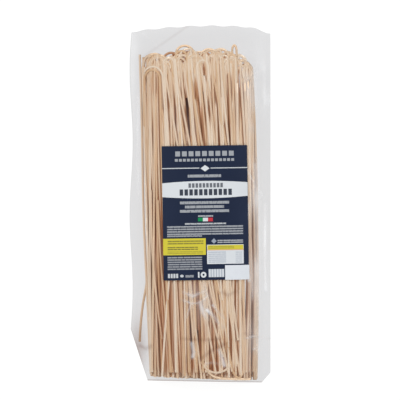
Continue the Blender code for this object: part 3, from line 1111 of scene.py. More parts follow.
@dataclass(frozen=True)
class Crease:
    """A fold line in the film.

    Args:
        pixels: Its points in the photograph.
        width: Half width of the ridge, in millimetres.
        height: Height of the ridge.
        haze: How white it shows, from 0 to 1: a painted highlight, a little milky.
        stain: How brown it shows, from 0 to 1: painted shade along the fold.
    """

    pixels: tuple[tuple[float, float], ...]
    width: float = 0.7
    height: float = 0.15
    haze: float = 0.3
    stain: float = 0.0


# The ridges are real folds; haze paints highlights on them, a little milky, and stain paints darker shade
# along some.
CREASES = (
    Crease(((143, 32), (158, 47)), 0.6, 0.3, 0.22),
    Crease(((187, 26), (163, 43), (143, 57)), 1.1, 0.2, 0.0, 0.07),
    Crease(((138, 98), (137.4, 150), (138.5, 200)), 0.8, 0.3, 0.25),
    Crease(((240, 47), (252, 57), (262, 68)), 3.2, 0.1, 0.22),
    Crease(((250, 62), (260, 82), (268, 100)), 3.4, 0.1, 0.2),
    Crease(((246, 74), (251, 100), (253, 128)), 3.0, 0.1, 0.22),
    Crease(((247, 170), (255, 184), (262, 195)), 0.8, 0.2, 0.35),
    Crease(((265.5, 205), (265, 250), (266, 290)), 0.9, 0.3, 0.35),
    Crease(((257, 196), (259, 225)), 0.8, 0.2, 0.3),
    Crease(((181, 299), (191, 303), (200, 303)), 0.8, 0.15, 0.4),
    Crease(((200, 303), (207, 296), (204, 284)), 0.8, 0.15, 0.3),
    Crease(((200, 302), (203, 312), (207, 319)), 1.5, 0.2, 0.6),
    Crease(((207, 310), (214, 316), (222, 327)), 1.4, 0.15, 0.75),
    Crease(((213, 305), (219, 313), (224, 318)), 0.9, 0.2, 0.6),
    Crease(((183, 292), (193, 296), (204, 291)), 1.2, 0.1, 0.35),
    Crease(((247, 205), (246, 240), (249, 280)), 1.6, 0.1, 0.3),
    Crease(((259, 120), (256, 150), (258, 185)), 1.6, 0.1, 0.25),
    Crease(((255.5, 165), (256.5, 210), (257, 260), (257.5, 330)), 2.0, 0.1, 0.38),
    Crease(((260, 200), (260.5, 270), (261, 374)), 1.6, 0.1, 0.12),
    Crease(((251.5, 66), (255, 90), (257, 130)), 2.4, 0.1, 0.2),
    Crease(((257, 250), (256, 300), (257.5, 366)), 0.7, 0.1, 0.35),
    Crease(((252, 190), (251, 235), (252.5, 300)), 0.5, 0.1, 0.2),
    Crease(((191, 304), (188, 312), (187, 318)), 0.7, 0.2, 0.4),
    Crease(((183, 338), (200, 339.5), (219, 338.5)), 1.3, 0.1, 0.0, 0.22),
    Crease(((201, 358), (212, 350), (226, 343)), 1.5, 0.1, 0.0, 0.26),
    Crease(((205, 363), (213, 362), (221, 364)), 0.8, 0.2, 0.35),
    Crease(((192, 343), (194, 352), (193, 356)), 1.5, 0.2, 0.5),
    Crease(((219, 350), (222, 358), (224, 365)), 1.4, 0.15, 0.55),
    Crease(((246, 338), (254, 336), (270, 339)), 0.8, 0.2, 0.3, 0.1),
    Crease(((254, 349), (260, 347), (258, 354)), 1.0, 0.2, 0.35),
    Crease(((140, 346), (146, 349), (151, 346)), 1.6, 0.1, 0.0, 0.22),
    Crease(((245, 333), (249, 336), (253, 334)), 1.3, 0.1, 0.0, 0.25),
    Crease(((222, 292), (228, 295), (236, 291)), 1.3, 0.1, 0.0, 0.22),
    # Painted shadow under the base seam.
    Crease(((146, 380.6), (205, 381.9), (264, 383.2)), 0.5, 0.1, 0.0, 0.5),
)


@dataclass(frozen=True)
class PaintedLightPatch:
    """A stretch of the film with a painted milky highlight over the strands, or with painted shade.

    Args:
        centre: Its middle in the photograph.
        size: Half width and half height in pixels.
        haze: How white its painted highlight shows.
        stain: How brown its painted shade shows.
    """

    centre: tuple[float, float]
    size: tuple[float, float]
    haze: float = 0.0
    stain: float = 0.0


# Painted highlights: a milky sheen over the strands, mostly at the right and low in the middle; the last
# patch paints shade at the lower left corner.
PAINTED_LIGHT_PATCHES = (
    PaintedLightPatch((252, 95), (9, 38), 0.2),
    PaintedLightPatch((200, 312), (14, 26), 0.16),
    PaintedLightPatch((190, 292), (16, 10), 0.1),
    PaintedLightPatch((254, 205), (8, 70), 0.2),
    PaintedLightPatch((253, 330), (9, 46), 0.24),
    PaintedLightPatch((176, 128), (16, 16), 0.08),
    # Painted shade at the lower left corner.
    PaintedLightPatch((137, 352), (7, 26), 0.0, 0.45),
)


@dataclass
class Film:
    """The clear film, drawn tight over the strands.

    Args:
        bundle: What the film lies on.
        cell: Spacing of the grid that the film is worked out on.
        clearance: Gap between the film and the strands' crests.
        steps: Rounds of tightening.
        hold: How strongly the film keeps to the bag's own shape.
        back_share: How much of the front's painted highlight and painted shade the back has.
        ripples: Length along and across the bag, in cells, and height of each ripple.
        seed: Seeds the ripples, the mottle and the streaks.
    """

    bundle: StrandBundle
    cell: float = 0.84
    clearance: float = 0.12
    steps: int = 360
    hold: float = 0.01
    back_share: tuple[float, float] = (0.3, 0.5)
    ripples: tuple[tuple[float, float, float], ...] = ((9.0, 4.0, 0.14), (30.0, 12.0, 0.2))
    seed: int = 5

    def tighten(self, ground: HeightMap, shape: Array, x: Array, y: Array) -> Array:
        """Draws a sheet tight over a height map.

        Each round moves every point to the mean of its four neighbours, mixed with a
        little of the bag's own shape, but never below what the sheet lies on.

        Args:
            ground: What the sheet lies on.
            shape: The bag's own height on the grid.
            x: The grid's places across.
            y: The grid's places along.

        Returns:
            The sheet's height on the grid.
        """
        offsets = (-0.3, 0.0, 0.3)
        below = np.max([ground.sample(x + dx, y) for dx in offsets], axis=0) + self.clearance
        sheet = np.maximum(shape, below)
        for _ in range(self.steps):
            padded = np.pad(sheet, 1, mode="edge")
            mean = (padded[2:, 1:-1] + padded[:-2, 1:-1] + padded[1:-1, 2:] + padded[1:-1, :-2]) / 4
            sheet = np.maximum(below, mean + (shape - mean) * self.hold)
        return sheet

    def grid(self, columns: int, rows: int) -> tuple[Array, Array]:
        """Places of a grid that fills the film's outline.

        Args:
            columns: Points across.
            rows: Points along.

        Returns:
            x and y of each point.
        """
        u, v = np.meshgrid(np.linspace(0.0, 1.0, columns), np.linspace(0.0, 1.0, rows))
        x = -BAG.half_width + 2 * BAG.half_width * u
        for _ in range(4):
            y = BAG.film_base(x) + (BAG.film_top(x) - BAG.film_base(x)) * v
            x = BAG.film_left(y) + (BAG.film_right(y) - BAG.film_left(y)) * u
        return x, y

    def marks(self, x: Array, y: Array) -> tuple[Array, Array, Array]:
        """Creases and patches: a bell curve of the distance to each.

        Args:
            x: Places across.
            y: Places along.

        Returns:
            The height to add, the painted highlight and the painted shade.
        """
        height, haze, stain = np.zeros_like(x), np.zeros_like(x), np.zeros_like(x)
        for crease in CREASES:
            points = PHOTO.points(crease.pixels)
            near = np.full_like(x, np.inf)
            for a, b in zip(points, points[1:]):
                run = b - a
                t = np.clip(((x - a[0]) * run[0] + (y - a[1]) * run[1]) / (run @ run), 0.0, 1.0)
                near = np.minimum(near, np.hypot(x - a[0] - t * run[0], y - a[1] - t * run[1]))
            bell = np.exp(-((near / crease.width) ** 2))
            height += crease.height * bell
            haze = np.maximum(haze, crease.haze * bell)
            stain = np.maximum(stain, crease.stain * bell)
        for patch in PAINTED_LIGHT_PATCHES:
            bell = PHOTO.bell(x, y, patch.centre, patch.size)
            haze = haze + patch.haze * bell
            stain = stain + patch.stain * bell
        return height, haze, stain

    def build(self) -> bpy.types.Object:
        """Makes the closed film: a front and a back sheet with a shared edge.

        Fine and broad ripples stand out where the film is loose, and a mottle breaks up
        the painted highlights. Faint streaks of painted highlight run along the bag.

        Returns:
            The object, with each vertex's painted highlight and painted shade.
        """
        columns = int(2 * BAG.half_width / self.cell)
        rows = int((BAG.top - BAG.base) / self.cell)
        x, y = self.grid(columns, rows)
        back_shape, front_shape = BAG.faces(x, y)
        front = self.tighten(self.bundle.map, front_shape, x, y)
        back = -self.tighten(self.bundle.under, -back_shape, x, y)
        rng = np.random.default_rng(self.seed)
        ripple = sum(soft_noise(x.shape, (a, b), rng) * height for a, b, height in self.ripples)
        height, haze, stain = self.marks(x, y)
        mottle = soft_noise(x.shape, (7.0, 3.0), rng)
        haze = 0.6 * haze * np.clip(1.0 + 0.45 * mottle, 0.2, 2.0)
        left, right = BAG.bundle_sides(y)
        loose = 0.15 + smoothstep((np.maximum(left - x, x - right) + 1.0) / 4.0)
        # Painted highlight: faint streaks along the loose film.
        haze = haze + 0.03 * loose * np.maximum(soft_noise(x.shape, (26.0, 1.6), rng), 0.0)
        self.x, self.y = x, y
        self.front = front + np.abs(ripple) * loose + height
        self.back = np.maximum(back, 0.02)
        return self.mesh(haze, stain)

    def depth(self, places: Array) -> Array:
        """How deep places lie in the bundle.

        That is the distance to the nearer sheet, a quarter of that to a side or half of
        that to an end, whichever is least.

        Args:
            places: x, y and z of each.

        Returns:
            The depths, in millimetres.
        """
        x, y, z = places.T
        left, right = BAG.bundle_sides(y)
        inside = np.minimum(self.sample(self.front, x, y) - z, z - self.sample(self.back, x, y))
        across = np.minimum(x - left, right - x)
        along = np.minimum(y - BAG.bundle_base(x), BAG.loop_line(x) + 5.0 - y)
        return np.maximum(np.min([inside, across / 4, along / 2], axis=0), 0.0)

    def mesh(self, haze: Array, stain: Array) -> bpy.types.Object:
        """Joins the two sheets at their edge into one closed mesh.

        Args:
            haze: The front sheet's painted highlight on the grid.
            stain: Its painted shade.

        Returns:
            The object.
        """
        x, y, back = self.x, self.y, self.back
        rows, columns = x.shape
        edge = np.zeros(x.shape, bool)
        edge[0] = edge[-1] = True
        edge[:, 0] = edge[:, -1] = True
        front = np.where(edge, (self.front + back) / 2, self.front)
        upper = np.arange(rows * columns).reshape(rows, columns)
        lower = np.where(edge, upper, rows * columns + np.cumsum(~edge).reshape(rows, columns) - 1)
        sheets = [np.stack([x, y, z], axis=-1) for z in (front, back)]
        down = np.roll(grid_faces(lower)[:, ::-1], 1, axis=1)
        return add_piece(
            "clear_film",
            np.concatenate([sheets[0].reshape(-1, 3), sheets[1][~edge]]),
            np.concatenate([grid_faces(upper), down]).tolist(),
            haze=np.concatenate([haze.ravel(), haze[~edge] * self.back_share[0]]),
            stain=np.concatenate([stain.ravel(), stain[~edge] * self.back_share[1]]),
        )

    def sample(self, values: Array, x: Array, y: Array) -> Array:
        """A grid's value at any points inside the film's outline, interpolated.

        Args:
            values: The values on the film's grid.
            x: Places across.
            y: Places along.

        Returns:
            The value at each place.
        """
        rows, columns = values.shape
        v = (y - BAG.film_base(x)) / (BAG.film_top(x) - BAG.film_base(x))
        u = (x - BAG.film_left(y)) / (BAG.film_right(y) - BAG.film_left(y))
        u, v = np.clip(u, 0.0, 1.0) * (columns - 1.001), np.clip(v, 0.0, 1.0) * (rows - 1.001)
        return interpolate(values, u, v)


class Nodes:
    """Adds nodes to a material, one call for each."""

    def __init__(self, name: str) -> None:
        """Starts a material with only its output.

        Args:
            name: The material's name.
        """
        self.material = bpy.data.materials.new(name)
        self.material.use_nodes = True
        self.tree = self.material.node_tree
        self.tree.nodes.clear()
        self.output = self.tree.nodes.new("ShaderNodeOutputMaterial")

    def add(self, kind: str, inputs: dict | None = None, **settings: object) -> bpy.types.Node:
        """Adds one node.

        Args:
            kind: The node type's name after "ShaderNode".
            inputs: A value or an output socket for each input, by name or number.
            settings: Values for the node's own properties.

        Returns:
            The node.
        """
        node = self.tree.nodes.new("ShaderNode" + kind)
        for key, value in settings.items():
            setattr(node, key, value)
        for key, value in (inputs or {}).items():
            if isinstance(value, bpy.types.NodeSocket):
                self.tree.links.new(value, node.inputs[key])
            else:
                node.inputs[key].default_value = value
        return node

    def math(self, operation: str, *values: object) -> Socket:
        """Adds one Math node and returns its output."""
        return self.add("Math", dict(enumerate(values)), operation=operation).outputs[0]

    def mix(self, factor: object, low: object, high: object) -> Socket:
        """Mixes two colours and returns the result."""
        return self.add("Mix", {0: factor, 6: low, 7: high}, data_type="RGBA").outputs[2]

    def coordinate(self, kind: str) -> Socket:
        """Adds the mesh's UV or Object coordinates, which are both in metres."""
        return self.add("TexCoord").outputs[kind]

    def attribute(self, name: str) -> Socket:
        """Adds one of the numbers that the mesh has for each vertex."""
        return self.add("Attribute", attribute_name=name).outputs["Fac"]

    def stretched(self, place: Socket, scale: tuple[float, float, float]) -> Socket:
        """Adds noise that a scale stretches or squeezes along each axis."""
        return self.noise(self.add("Mapping", {"Vector": place, "Scale": scale}).outputs[0], 1.0, 2.0)

    def noise(self, place: Socket, scale: float, detail: float = 3.0, roughness: float = 0.5) -> Socket:
        """Adds a noise texture and returns its value, which is about 0.5 in the mean."""
        inputs = {"Vector": place, "Scale": scale, "Detail": detail, "Roughness": roughness}
        return self.add("TexNoise", inputs).outputs[0]

    def ramp(
        self, value: Socket, low: float, high: float, most: float = 1.0, kind: str = "SMOOTHSTEP"
    ) -> Socket:
        """Rises from 0 at low to most at high."""
        inputs = {"Value": value, "From Min": low, "From Max": high, "To Max": most}
        return self.add("MapRange", inputs, interpolation_type=kind).outputs[0]

    def bump(self, height: Socket, strength: float, distance: float = 0.0001) -> Socket:
        """Adds a bump and returns its normal."""
        return self.add("Bump", {"Height": height, "Strength": strength, "Distance": distance}).outputs[0]

    def surface(self, inputs: dict) -> bpy.types.Material:
        """Finishes the material with one Principled shader."""
        return self.finish(self.add("BsdfPrincipled", inputs).outputs[0])

    def paper(self, colour: Socket, gloss: float) -> bpy.types.Material:
        """Finishes the material as satin paper, with the bump of a fine fibre.

        Args:
            colour: Its colour.
            gloss: Its specular level.

        Returns:
            The material.
        """
        bump = self.bump(self.noise(self.coordinate("UV"), 1800.0), 0.15)
        return self.surface(
            {"Base Color": colour, "Roughness": 0.6, "Normal": bump, "Specular IOR Level": gloss}
        )

    def finish(self, shader: bpy.types.NodeSocket) -> bpy.types.Material:
        """Connects the shader to the output and returns the material."""
        self.tree.links.new(shader, self.output.inputs["Surface"])
        return self.material


@dataclass(frozen=True)
class PastaFinish:
    """Dry durum wheat pasta: matt, slightly floury, each strand with a tone of its own.

    Deeper in the bundle and on each strand's flanks, shade is painted into the colour as
    amber and then dark brown, and a painted warm glow is added as emission.

    Args:
        pale: Colour of the palest strands.
        golden: Colour of the most golden ones.
        painted_shade_amber: Colour of the painted shade on a strand's flanks and on the strands just below
            it.
        deep: Colour of the painted shade on strands deep in the bundle.
        painted_shade_amber_depth: Depths in millimetres where the painted amber shade sets in and is full.
        painted_deep_shade_depth: Depths where the painted deep shade sets in and is full.
        painted_glow: Colour of a painted glow, as emission, that stands in for light passed through the
            strands.
        painted_glow_strength: Its strength.
        painted_glow_depth: Depths where the painted glow sets in and is full.
        roughness: Of the surface.
    """

    pale: str = "F4E2CC"
    golden: str = "DEB88F"
    painted_shade_amber: str = "C48A58"
    deep: str = "6E3A22"
    painted_shade_amber_depth: tuple[float, float] = (1.0, 4.6)
    painted_deep_shade_depth: tuple[float, float] = (4.2, 10.0)
    painted_glow: str = "B87C4C"
    painted_glow_strength: float = 0.17
    painted_glow_depth: tuple[float, float] = (1.8, 5.0)
    roughness: float = 0.55

    def make(self) -> bpy.types.Material:
        """Makes the material from the strand's tone, streaks and fine specks, with painted shade and a
        painted glow by depth.

        Returns:
            The material.
        """
        n = Nodes("dry_pasta")
        streak = n.stretched(n.coordinate("UV"), (2200.0, 55.0, 1.0))
        speck = n.noise(n.coordinate("Object"), 2600.0)
        tone = n.attribute("tone")
        for texture, weight in ((streak, 0.9), (speck, 0.7)):
            tone = n.math("ADD", tone, n.math("MULTIPLY", n.math("SUBTRACT", texture, 0.5), weight))
        tone = n.add("Clamp", {0: tone}).outputs[0]
        colour = n.mix(tone, hex_colour(self.pale), hex_colour(self.golden))
        # Painted shade: amber, then dark brown, deeper in the bundle and on the strands' flanks.
        depth = n.attribute("depth")
        colour = n.mix(n.ramp(depth, *self.painted_shade_amber_depth, 0.75), colour, hex_colour(self.painted_shade_amber))
        colour = n.mix(n.ramp(depth, *self.painted_deep_shade_depth, 0.85), colour, hex_colour(self.deep))
        # Painted glow: warm emission deep between the strands.
        painted_glow = n.mix(n.ramp(depth, *self.painted_glow_depth), (0.0, 0.0, 0.0, 1.0), hex_colour(self.painted_glow))
        return n.surface(
            {
                "Base Color": colour,
                "Roughness": self.roughness,
                "Normal": n.bump(speck, 0.35),
                "Specular IOR Level": 0.3,
                "Emission Color": painted_glow,
                "Emission Strength": self.painted_glow_strength,
            }
        )


@dataclass(frozen=True)
class CoreFinish:
    """The inside of the bundle, coloured with painted shade: dark brown, with darker painted shade in
    streaks along the strands.
    """

    light: str = "9A6038"
    dark: str = "44261A"

    def make(self) -> bpy.types.Material:
        """Makes the material from streaks a strand wide, drawn out along Y.

        Returns:
            The material.
        """
        n = Nodes("shaded_pasta")
        streak = n.stretched(n.coordinate("Object"), (420.0, 9.0, 60.0))
        share = n.ramp(streak, 0.35, 0.62, kind="LINEAR")
        # Painted shade: both colours are pasta as dark as it looks deep in the bundle.
        colour = n.mix(share, hex_colour(self.dark), hex_colour(self.light))
        return n.surface({"Base Color": colour, "Roughness": 0.8, "Normal": n.bump(streak, 0.6, 0.001)})


@dataclass(frozen=True)
class FilmFinish:
    """Clear packing film: mostly see-through, softly glossy, with painted highlights, a little milky,
    along its creases and painted shade along some folds.

    Args:
        tint: Share of the light that one layer lets through.
        stained: Colour that it lets through where shade is painted: along folds, under the base seam and
            at the lower left corner.
        gloss: How much of the surface's own look shows everywhere.
        haze: How much more of the milky surface shows where the painted highlight is full.
        roughness: Of the surface.
    """

    tint: float = 0.845
    stained: str = "9C7F72"
    gloss: float = 0.014
    haze: float = 1.0
    roughness: float = 0.42

    def make(self) -> bpy.types.Material:
        """Makes the material: clear film mixed with a milky gloss by gloss and the painted highlight, and
        browner where shade is painted.

        Returns:
            The material.
        """
        n = Nodes("clear_film")
        # Painted shade: browner, darker film along folds, under the base seam and at the lower left
        # corner.
        stain = n.add("Clamp", {0: n.attribute("stain")}).outputs[0]
        through = n.mix(stain, (self.tint, self.tint, self.tint * 1.005, 1.0), hex_colour(self.stained))
        clear = n.add("BsdfTransparent", {"Color": through})
        surface = {"Base Color": hex_colour("F2F4F6"), "Roughness": self.roughness, "Metallic": 0.15}
        milky = n.add("BsdfPrincipled", surface)
        amount = n.math("MULTIPLY_ADD", n.attribute("haze"), self.haze, self.gloss)
        mixed = n.add("MixShader", {0: amount, 1: clear.outputs[0], 2: milky.outputs[0]})
        return n.finish(mixed.outputs[0])


class Ink(Enum):
    """Inks of the label, as sRGB hex codes."""

    NAVY = "1A2334"
    WHITE = "CACED2"
    GREY = "8E97A6"
    YELLOW = "C4B93A"
    ORANGE = "C98A3C"
    GREEN = "0B8048"
    RED = "B8303A"


class Form(Enum):
    """Outline of a printed field."""

    BOX = "box"
    LOZENGE = "lozenge"
    DISC = "disc"
    BARREL = "barrel"


@dataclass(frozen=True)
class PrintField:
    """A plain field of ink on the label.

    Args:
        pixels: Left, top, right and bottom in the photograph.
        ink: Its colour.
        form: Its outline.
        rows: Rows that it is broken into.
        blocks: Upright blocks that each row is broken into, 0 for uneven short dashes.
        strength: How strongly it covers what is under it.
    """

    pixels: tuple[float, float, float, float]
    ink: Ink
    form: Form = Form.BOX
    rows: int = 1
    blocks: int = 1
    strength: float = 1.0


PRINT_FIELDS = (
    PrintField((174.4, 151.2, 234.5, 156.2), Ink.WHITE, blocks=9, strength=0.5),
    PrintField((174.4, 158.7, 234.5, 161.4), Ink.WHITE, blocks=15, strength=0.5),
    PrintField((160.0, 168.0, 199.3, 168.9), Ink.WHITE, strength=0.85),
    PrintField((210.5, 167.4, 249.0, 168.3), Ink.WHITE, strength=0.85),
    PrintField((200.5, 165.2, 209.5, 171.6), Ink.WHITE, Form.LOZENGE),
    PrintField((187.8, 174.6, 221.0, 177.4), Ink.WHITE, blocks=0, strength=0.5),
    PrintField((158.0, 181.0, 251.0, 198.3), Ink.WHITE, Form.BARREL),
    PrintField((188.0, 183.2, 223.3, 187.6), Ink.NAVY, blocks=10, strength=0.8),
    PrintField((179.0, 189.1, 232.4, 195.3), Ink.NAVY, blocks=11, strength=0.95),
    PrintField((180.0, 201.2, 229.0, 203.9), Ink.WHITE, blocks=0, strength=0.5),
    PrintField((185.0, 205.4, 224.0, 208.1), Ink.WHITE, blocks=0, strength=0.5),
    PrintField((180.0, 209.6, 229.0, 212.3), Ink.WHITE, blocks=0, strength=0.5),
    PrintField((198.0, 215.2, 213.0, 216.7), Ink.WHITE, blocks=0, strength=0.55),
    PrintField((198.0, 217.6, 202.9, 221.2), Ink.GREEN),
    PrintField((202.9, 217.6, 207.9, 221.2), Ink.WHITE),
    PrintField((207.9, 217.6, 212.8, 221.2), Ink.RED),
    PrintField((185.0, 222.8, 226.0, 224.3), Ink.WHITE, blocks=0, strength=0.7),
    PrintField((167.2, 225.2, 243.0, 235.0), Ink.WHITE, rows=4, blocks=0, strength=0.5),
    PrintField((167.2, 235.3, 202.0, 236.8), Ink.WHITE, blocks=0, strength=0.45),
    PrintField((162.9, 238.4, 205.8, 254.9), Ink.YELLOW),
    PrintField((167.7, 240.0, 203.5, 244.6), Ink.NAVY, rows=2, blocks=0, strength=0.6),
    PrintField((167.7, 246.4, 198.0, 250.2), Ink.NAVY, rows=2, blocks=0, strength=0.7),
    PrintField((167.7, 250.9, 203.0, 253.8), Ink.NAVY, rows=2, blocks=0, strength=0.4),
    PrintField((211.2, 238.2, 216.6, 243.6), Ink.GREY, Form.LOZENGE),
    PrintField((217.5, 239.2, 243.0, 243.0), Ink.WHITE, rows=2, blocks=0, strength=0.6),
    PrintField((207.0, 244.3, 243.6, 263.6), Ink.WHITE),
    PrintField((207.4, 244.8, 243.2, 249.2), Ink.YELLOW),
    PrintField((208.5, 245.6, 234.0, 248.6), Ink.NAVY, rows=2, blocks=0, strength=0.4),
    PrintField((207.0, 249.2, 243.6, 250.0), Ink.ORANGE, strength=0.8),
    PrintField((208.3, 251.0, 226.0, 262.8), Ink.GREY, rows=6, blocks=0, strength=0.6),
    PrintField((235.5, 251.0, 241.8, 262.8), Ink.GREY, rows=6, blocks=0, strength=0.45),
    PrintField((167.7, 256.2, 202.3, 270.0), Ink.WHITE, rows=6, blocks=0, strength=0.45),
    PrintField((167.7, 273.6, 178.6, 277.9), Ink.WHITE, blocks=4, strength=0.85),
    PrintField((180.2, 274.4, 183.8, 277.2), Ink.WHITE, Form.DISC, strength=0.8),
    PrintField((185.5, 274.8, 193.7, 277.2), Ink.WHITE, blocks=0, strength=0.4),
    PrintField((198.0, 271.8, 199.5, 277.4), Ink.WHITE),
    PrintField((200.7, 271.6, 206.4, 277.4), Ink.WHITE, Form.DISC),
    PrintField((202.5, 273.4, 204.6, 275.6), Ink.NAVY, Form.DISC),
    PrintField((208.5, 268.8, 224.3, 276.8), Ink.GREY),
    PrintField((208.5, 268.8, 224.3, 276.8), Ink.WHITE, blocks=6, strength=0.9),
)


@dataclass
class Sheet:
    """A thin sheet of paper on the film.

    Args:
        name: The CAD node that it stands for.
        size: Width and length.
        centre: x and y of its middle.
        lift: Its underside's height above the label's own.
        thickness: Of the paper.
        turn: Its turn in radians, counter-clockwise.
        cell: Spacing of its grid.
    """

    name: str
    size: tuple[float, float]
    centre: tuple[float, float]
    lift: float = 0.0
    thickness: float = 0.12
    turn: float = math.radians(0.9)
    cell: float = 0.8

    def places(self) -> tuple[Array, Array, Array]:
        """Places of the sheet's grid.

        Returns:
            x, y and the UV, which is in millimetres from the top left corner.
        """
        columns, rows = (int(side / self.cell) + 1 for side in self.size)
        across, along = np.meshgrid(
            np.linspace(-0.5, 0.5, columns) * self.size[0], np.linspace(-0.5, 0.5, rows) * self.size[1]
        )
        x = self.centre[0] + across * math.cos(self.turn) - along * math.sin(self.turn)
        y = self.centre[1] + across * math.sin(self.turn) + along * math.cos(self.turn)
        uv = np.column_stack([across.ravel() + self.size[0] / 2, self.size[1] / 2 - along.ravel()])
        return x, y, uv

    def local(self, px: float, py: float) -> tuple[float, float]:
        """A pixel's place on the sheet.

        Args:
            px: The pixel's column in the photograph.
            py: Its row.

        Returns:
            Millimetres to the right and down from the sheet's top left corner.
        """
        dx, dy = PHOTO.x(px) - self.centre[0], PHOTO.y(py) - self.centre[1]
        across = dx * math.cos(self.turn) + dy * math.sin(self.turn)
        along = dy * math.cos(self.turn) - dx * math.sin(self.turn)
        return across + self.size[0] / 2, self.size[1] / 2 - along

    def build(self, ground: Surface) -> bpy.types.Object:
        """Makes the sheet as a closed slab over a smooth ground.

        Args:
            ground: Height of the label's underside at x, y.

        Returns:
            The object, with UVs in metres from the sheet's top left corner.
        """
        x, y, uv = self.places()
        under = ground(x, y) + self.lift
        top = under + self.thickness
        count = x.size
        index = np.arange(count).reshape(x.shape)
        verts = np.concatenate([np.stack([x, y, z], axis=-1).reshape(-1, 3) for z in (top, under)])
        up = grid_faces(index)
        sides = index[0, :], index[1:, -1], index[-1, -2::-1], index[-2:0:-1, 0], index[:1, 0]
        rim = np.concatenate(sides)
        wall = np.column_stack([rim[:-1] + count, rim[1:] + count, rim[1:], rim[:-1]])
        faces = np.concatenate([up, up[:, ::-1] + count, wall]).tolist()
        return add_piece(self.name + "_paper", verts, faces, uv=np.concatenate([uv, uv]), sharp=40.0)


@dataclass(frozen=True)
class LabelFinish:
    """Offset print on satin paper: flat inks that hide the paper's white.

    Args:
        dash: Length of the short dashes in a row, in millimetres.
        barrel: How much narrower a barrel's ends are than its middle.
    """

    dash: float = 1.5
    barrel: float = 0.25

    def mask(self, n: Nodes, u: Socket, v: Socket, sheet: Sheet, printed: PrintField) -> Socket:
        """Where a field is inked: 1 inside its outline, rows and blocks, and 0 elsewhere.

        Args:
            n: The material.
            u: Metres from the sheet's left edge.
            v: Metres from its top edge.
            sheet: The sheet that the field is on.
            printed: The field.

        Returns:
            The mask times the field's strength.
        """
        left, top, right, bottom = printed.pixels
        centre = [side * MM for side in sheet.local((left + right) / 2, (top + bottom) / 2)]
        half = [side / 2 * PHOTO.pixel * MM for side in (right - left, bottom - top)]
        across = n.math("MULTIPLY_ADD", u, 1 / half[0], -centre[0] / half[0])
        down = n.math("MULTIPLY_ADD", v, 1 / half[1], -centre[1] / half[1])
        wide, high = n.math("ABSOLUTE", across), n.math("ABSOLUTE", down)
        if printed.form is Form.LOZENGE:
            reach = n.math("ADD", wide, high)
        elif printed.form is Form.DISC:
            reach = n.math("ADD", n.math("POWER", wide, 2.0), n.math("POWER", high, 2.0))
        elif printed.form is Form.BARREL:
            reach = n.math("MULTIPLY_ADD", n.math("POWER", wide, 2.0), self.barrel, high)
        else:
            reach = n.math("MAXIMUM", wide, high)
        inside = n.math("LESS_THAN", reach, 1.0)
        if printed.rows > 1:
            row = n.math("FRACT", n.math("MULTIPLY_ADD", down, printed.rows / 2, printed.rows / 2))
            inside = n.math("MULTIPLY", inside, n.math("COMPARE", row, 0.5, 0.3))
        if printed.blocks > 1:
            block = n.math("FRACT", n.math("MULTIPLY_ADD", across, printed.blocks / 2, printed.blocks / 2))
            inside = n.math("MULTIPLY", inside, n.math("COMPARE", block, 0.5, 0.36))
        if printed.blocks == 0:
            pitch = 2 * half[1] / printed.rows
            step = n.math("FLOOR", n.math("MULTIPLY", v, 1 / pitch))
            along = n.math("MULTIPLY", u, 1 / (self.dash * MM))
            place = n.add("CombineXYZ", {0: along, 1: step}).outputs[0]
            dashes = n.ramp(n.noise(place, 1.0, 2.0, 0.7), 0.3, 0.48, kind="LINEAR")
            inside = n.math("MULTIPLY", inside, dashes)
        return n.math("MULTIPLY", inside, printed.strength)

    def make(self, sheet: Sheet) -> bpy.types.Material:
        """Makes the material: navy ground, then each field over it in order.

        Args:
            sheet: The sheet that is printed.

        Returns:
            The material.
        """
        n = Nodes("printed_paper")
        u, v, _ = n.add("SeparateXYZ", {0: n.coordinate("UV")}).outputs
        cloud = n.noise(n.coordinate("UV"), 28.0)
        colour = n.mix(cloud, hex_colour("111A2F"), hex_colour("1B2740"))
        for printed in PRINT_FIELDS:
            colour = n.mix(self.mask(n, u, v, sheet, printed), colour, hex_colour(printed.ink.value))
        return n.paper(colour, 0.15)


@dataclass(frozen=True)
class StickerFinish:
    """Blank sticker: coated white paper with a faint fibre."""

    colour: str = "D2D6DB"
    shade: str = "CBCFD5"

    def make(self) -> bpy.types.Material:
        """Makes the material from a faint cloud and a fine fibre bump.

        Returns:
            The material.
        """
        n = Nodes("blank_paper")
        cloud = n.noise(n.coordinate("UV"), 250.0)
        return n.paper(n.mix(cloud, hex_colour(self.colour), hex_colour(self.shade)), 0.2)


@dataclass
class Papers:
    """The printed label and the blank sticker over its corner.

    Args:
        film: The film that they are stuck to.
        softness: How far the papers' stiffness evens out the strands, in millimetres.
        gap: Between the film and the label, and the label and the sticker.
    """

    film: Film
    softness: float = 5.0
    gap: float = 0.06
    label: Sheet = field(default_factory=lambda: Sheet("label", (67.3, 105.8), (4.2, -6.9)))
    sticker: Sheet = field(default_factory=lambda: Sheet("blank_sticker", (19.2, 11.5), (29.4, -53.8)))

    def __post_init__(self) -> None:
        """Works out the smooth ground: the blurred film, lifted clear of its crests."""
        cells = self.softness / self.film.cell
        smooth = blur(self.film.front, (cells, cells))
        x, y, _ = self.label.places()
        above = self.film.sample(self.film.front - smooth, x, y)
        self.lift = float(above.max()) + self.gap
        self.smooth = smooth
        self.sticker.lift = self.label.thickness + self.gap

    def ground(self, x: Array, y: Array) -> Array:
        """Height of the label's underside."""
        return self.film.sample(self.smooth, x, y) + self.lift

    def build(self) -> list[bpy.types.Object]:
        """Makes both papers and dresses them.

        Returns:
            The label and the sticker.
        """
        label = self.label.build(self.ground)
        dress(label, LabelFinish().make(self.label))
        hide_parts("label")
        sticker = self.sticker.build(self.ground)
        dress(sticker, StickerFinish().make())
        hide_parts("blank_sticker")
        return [label, sticker]


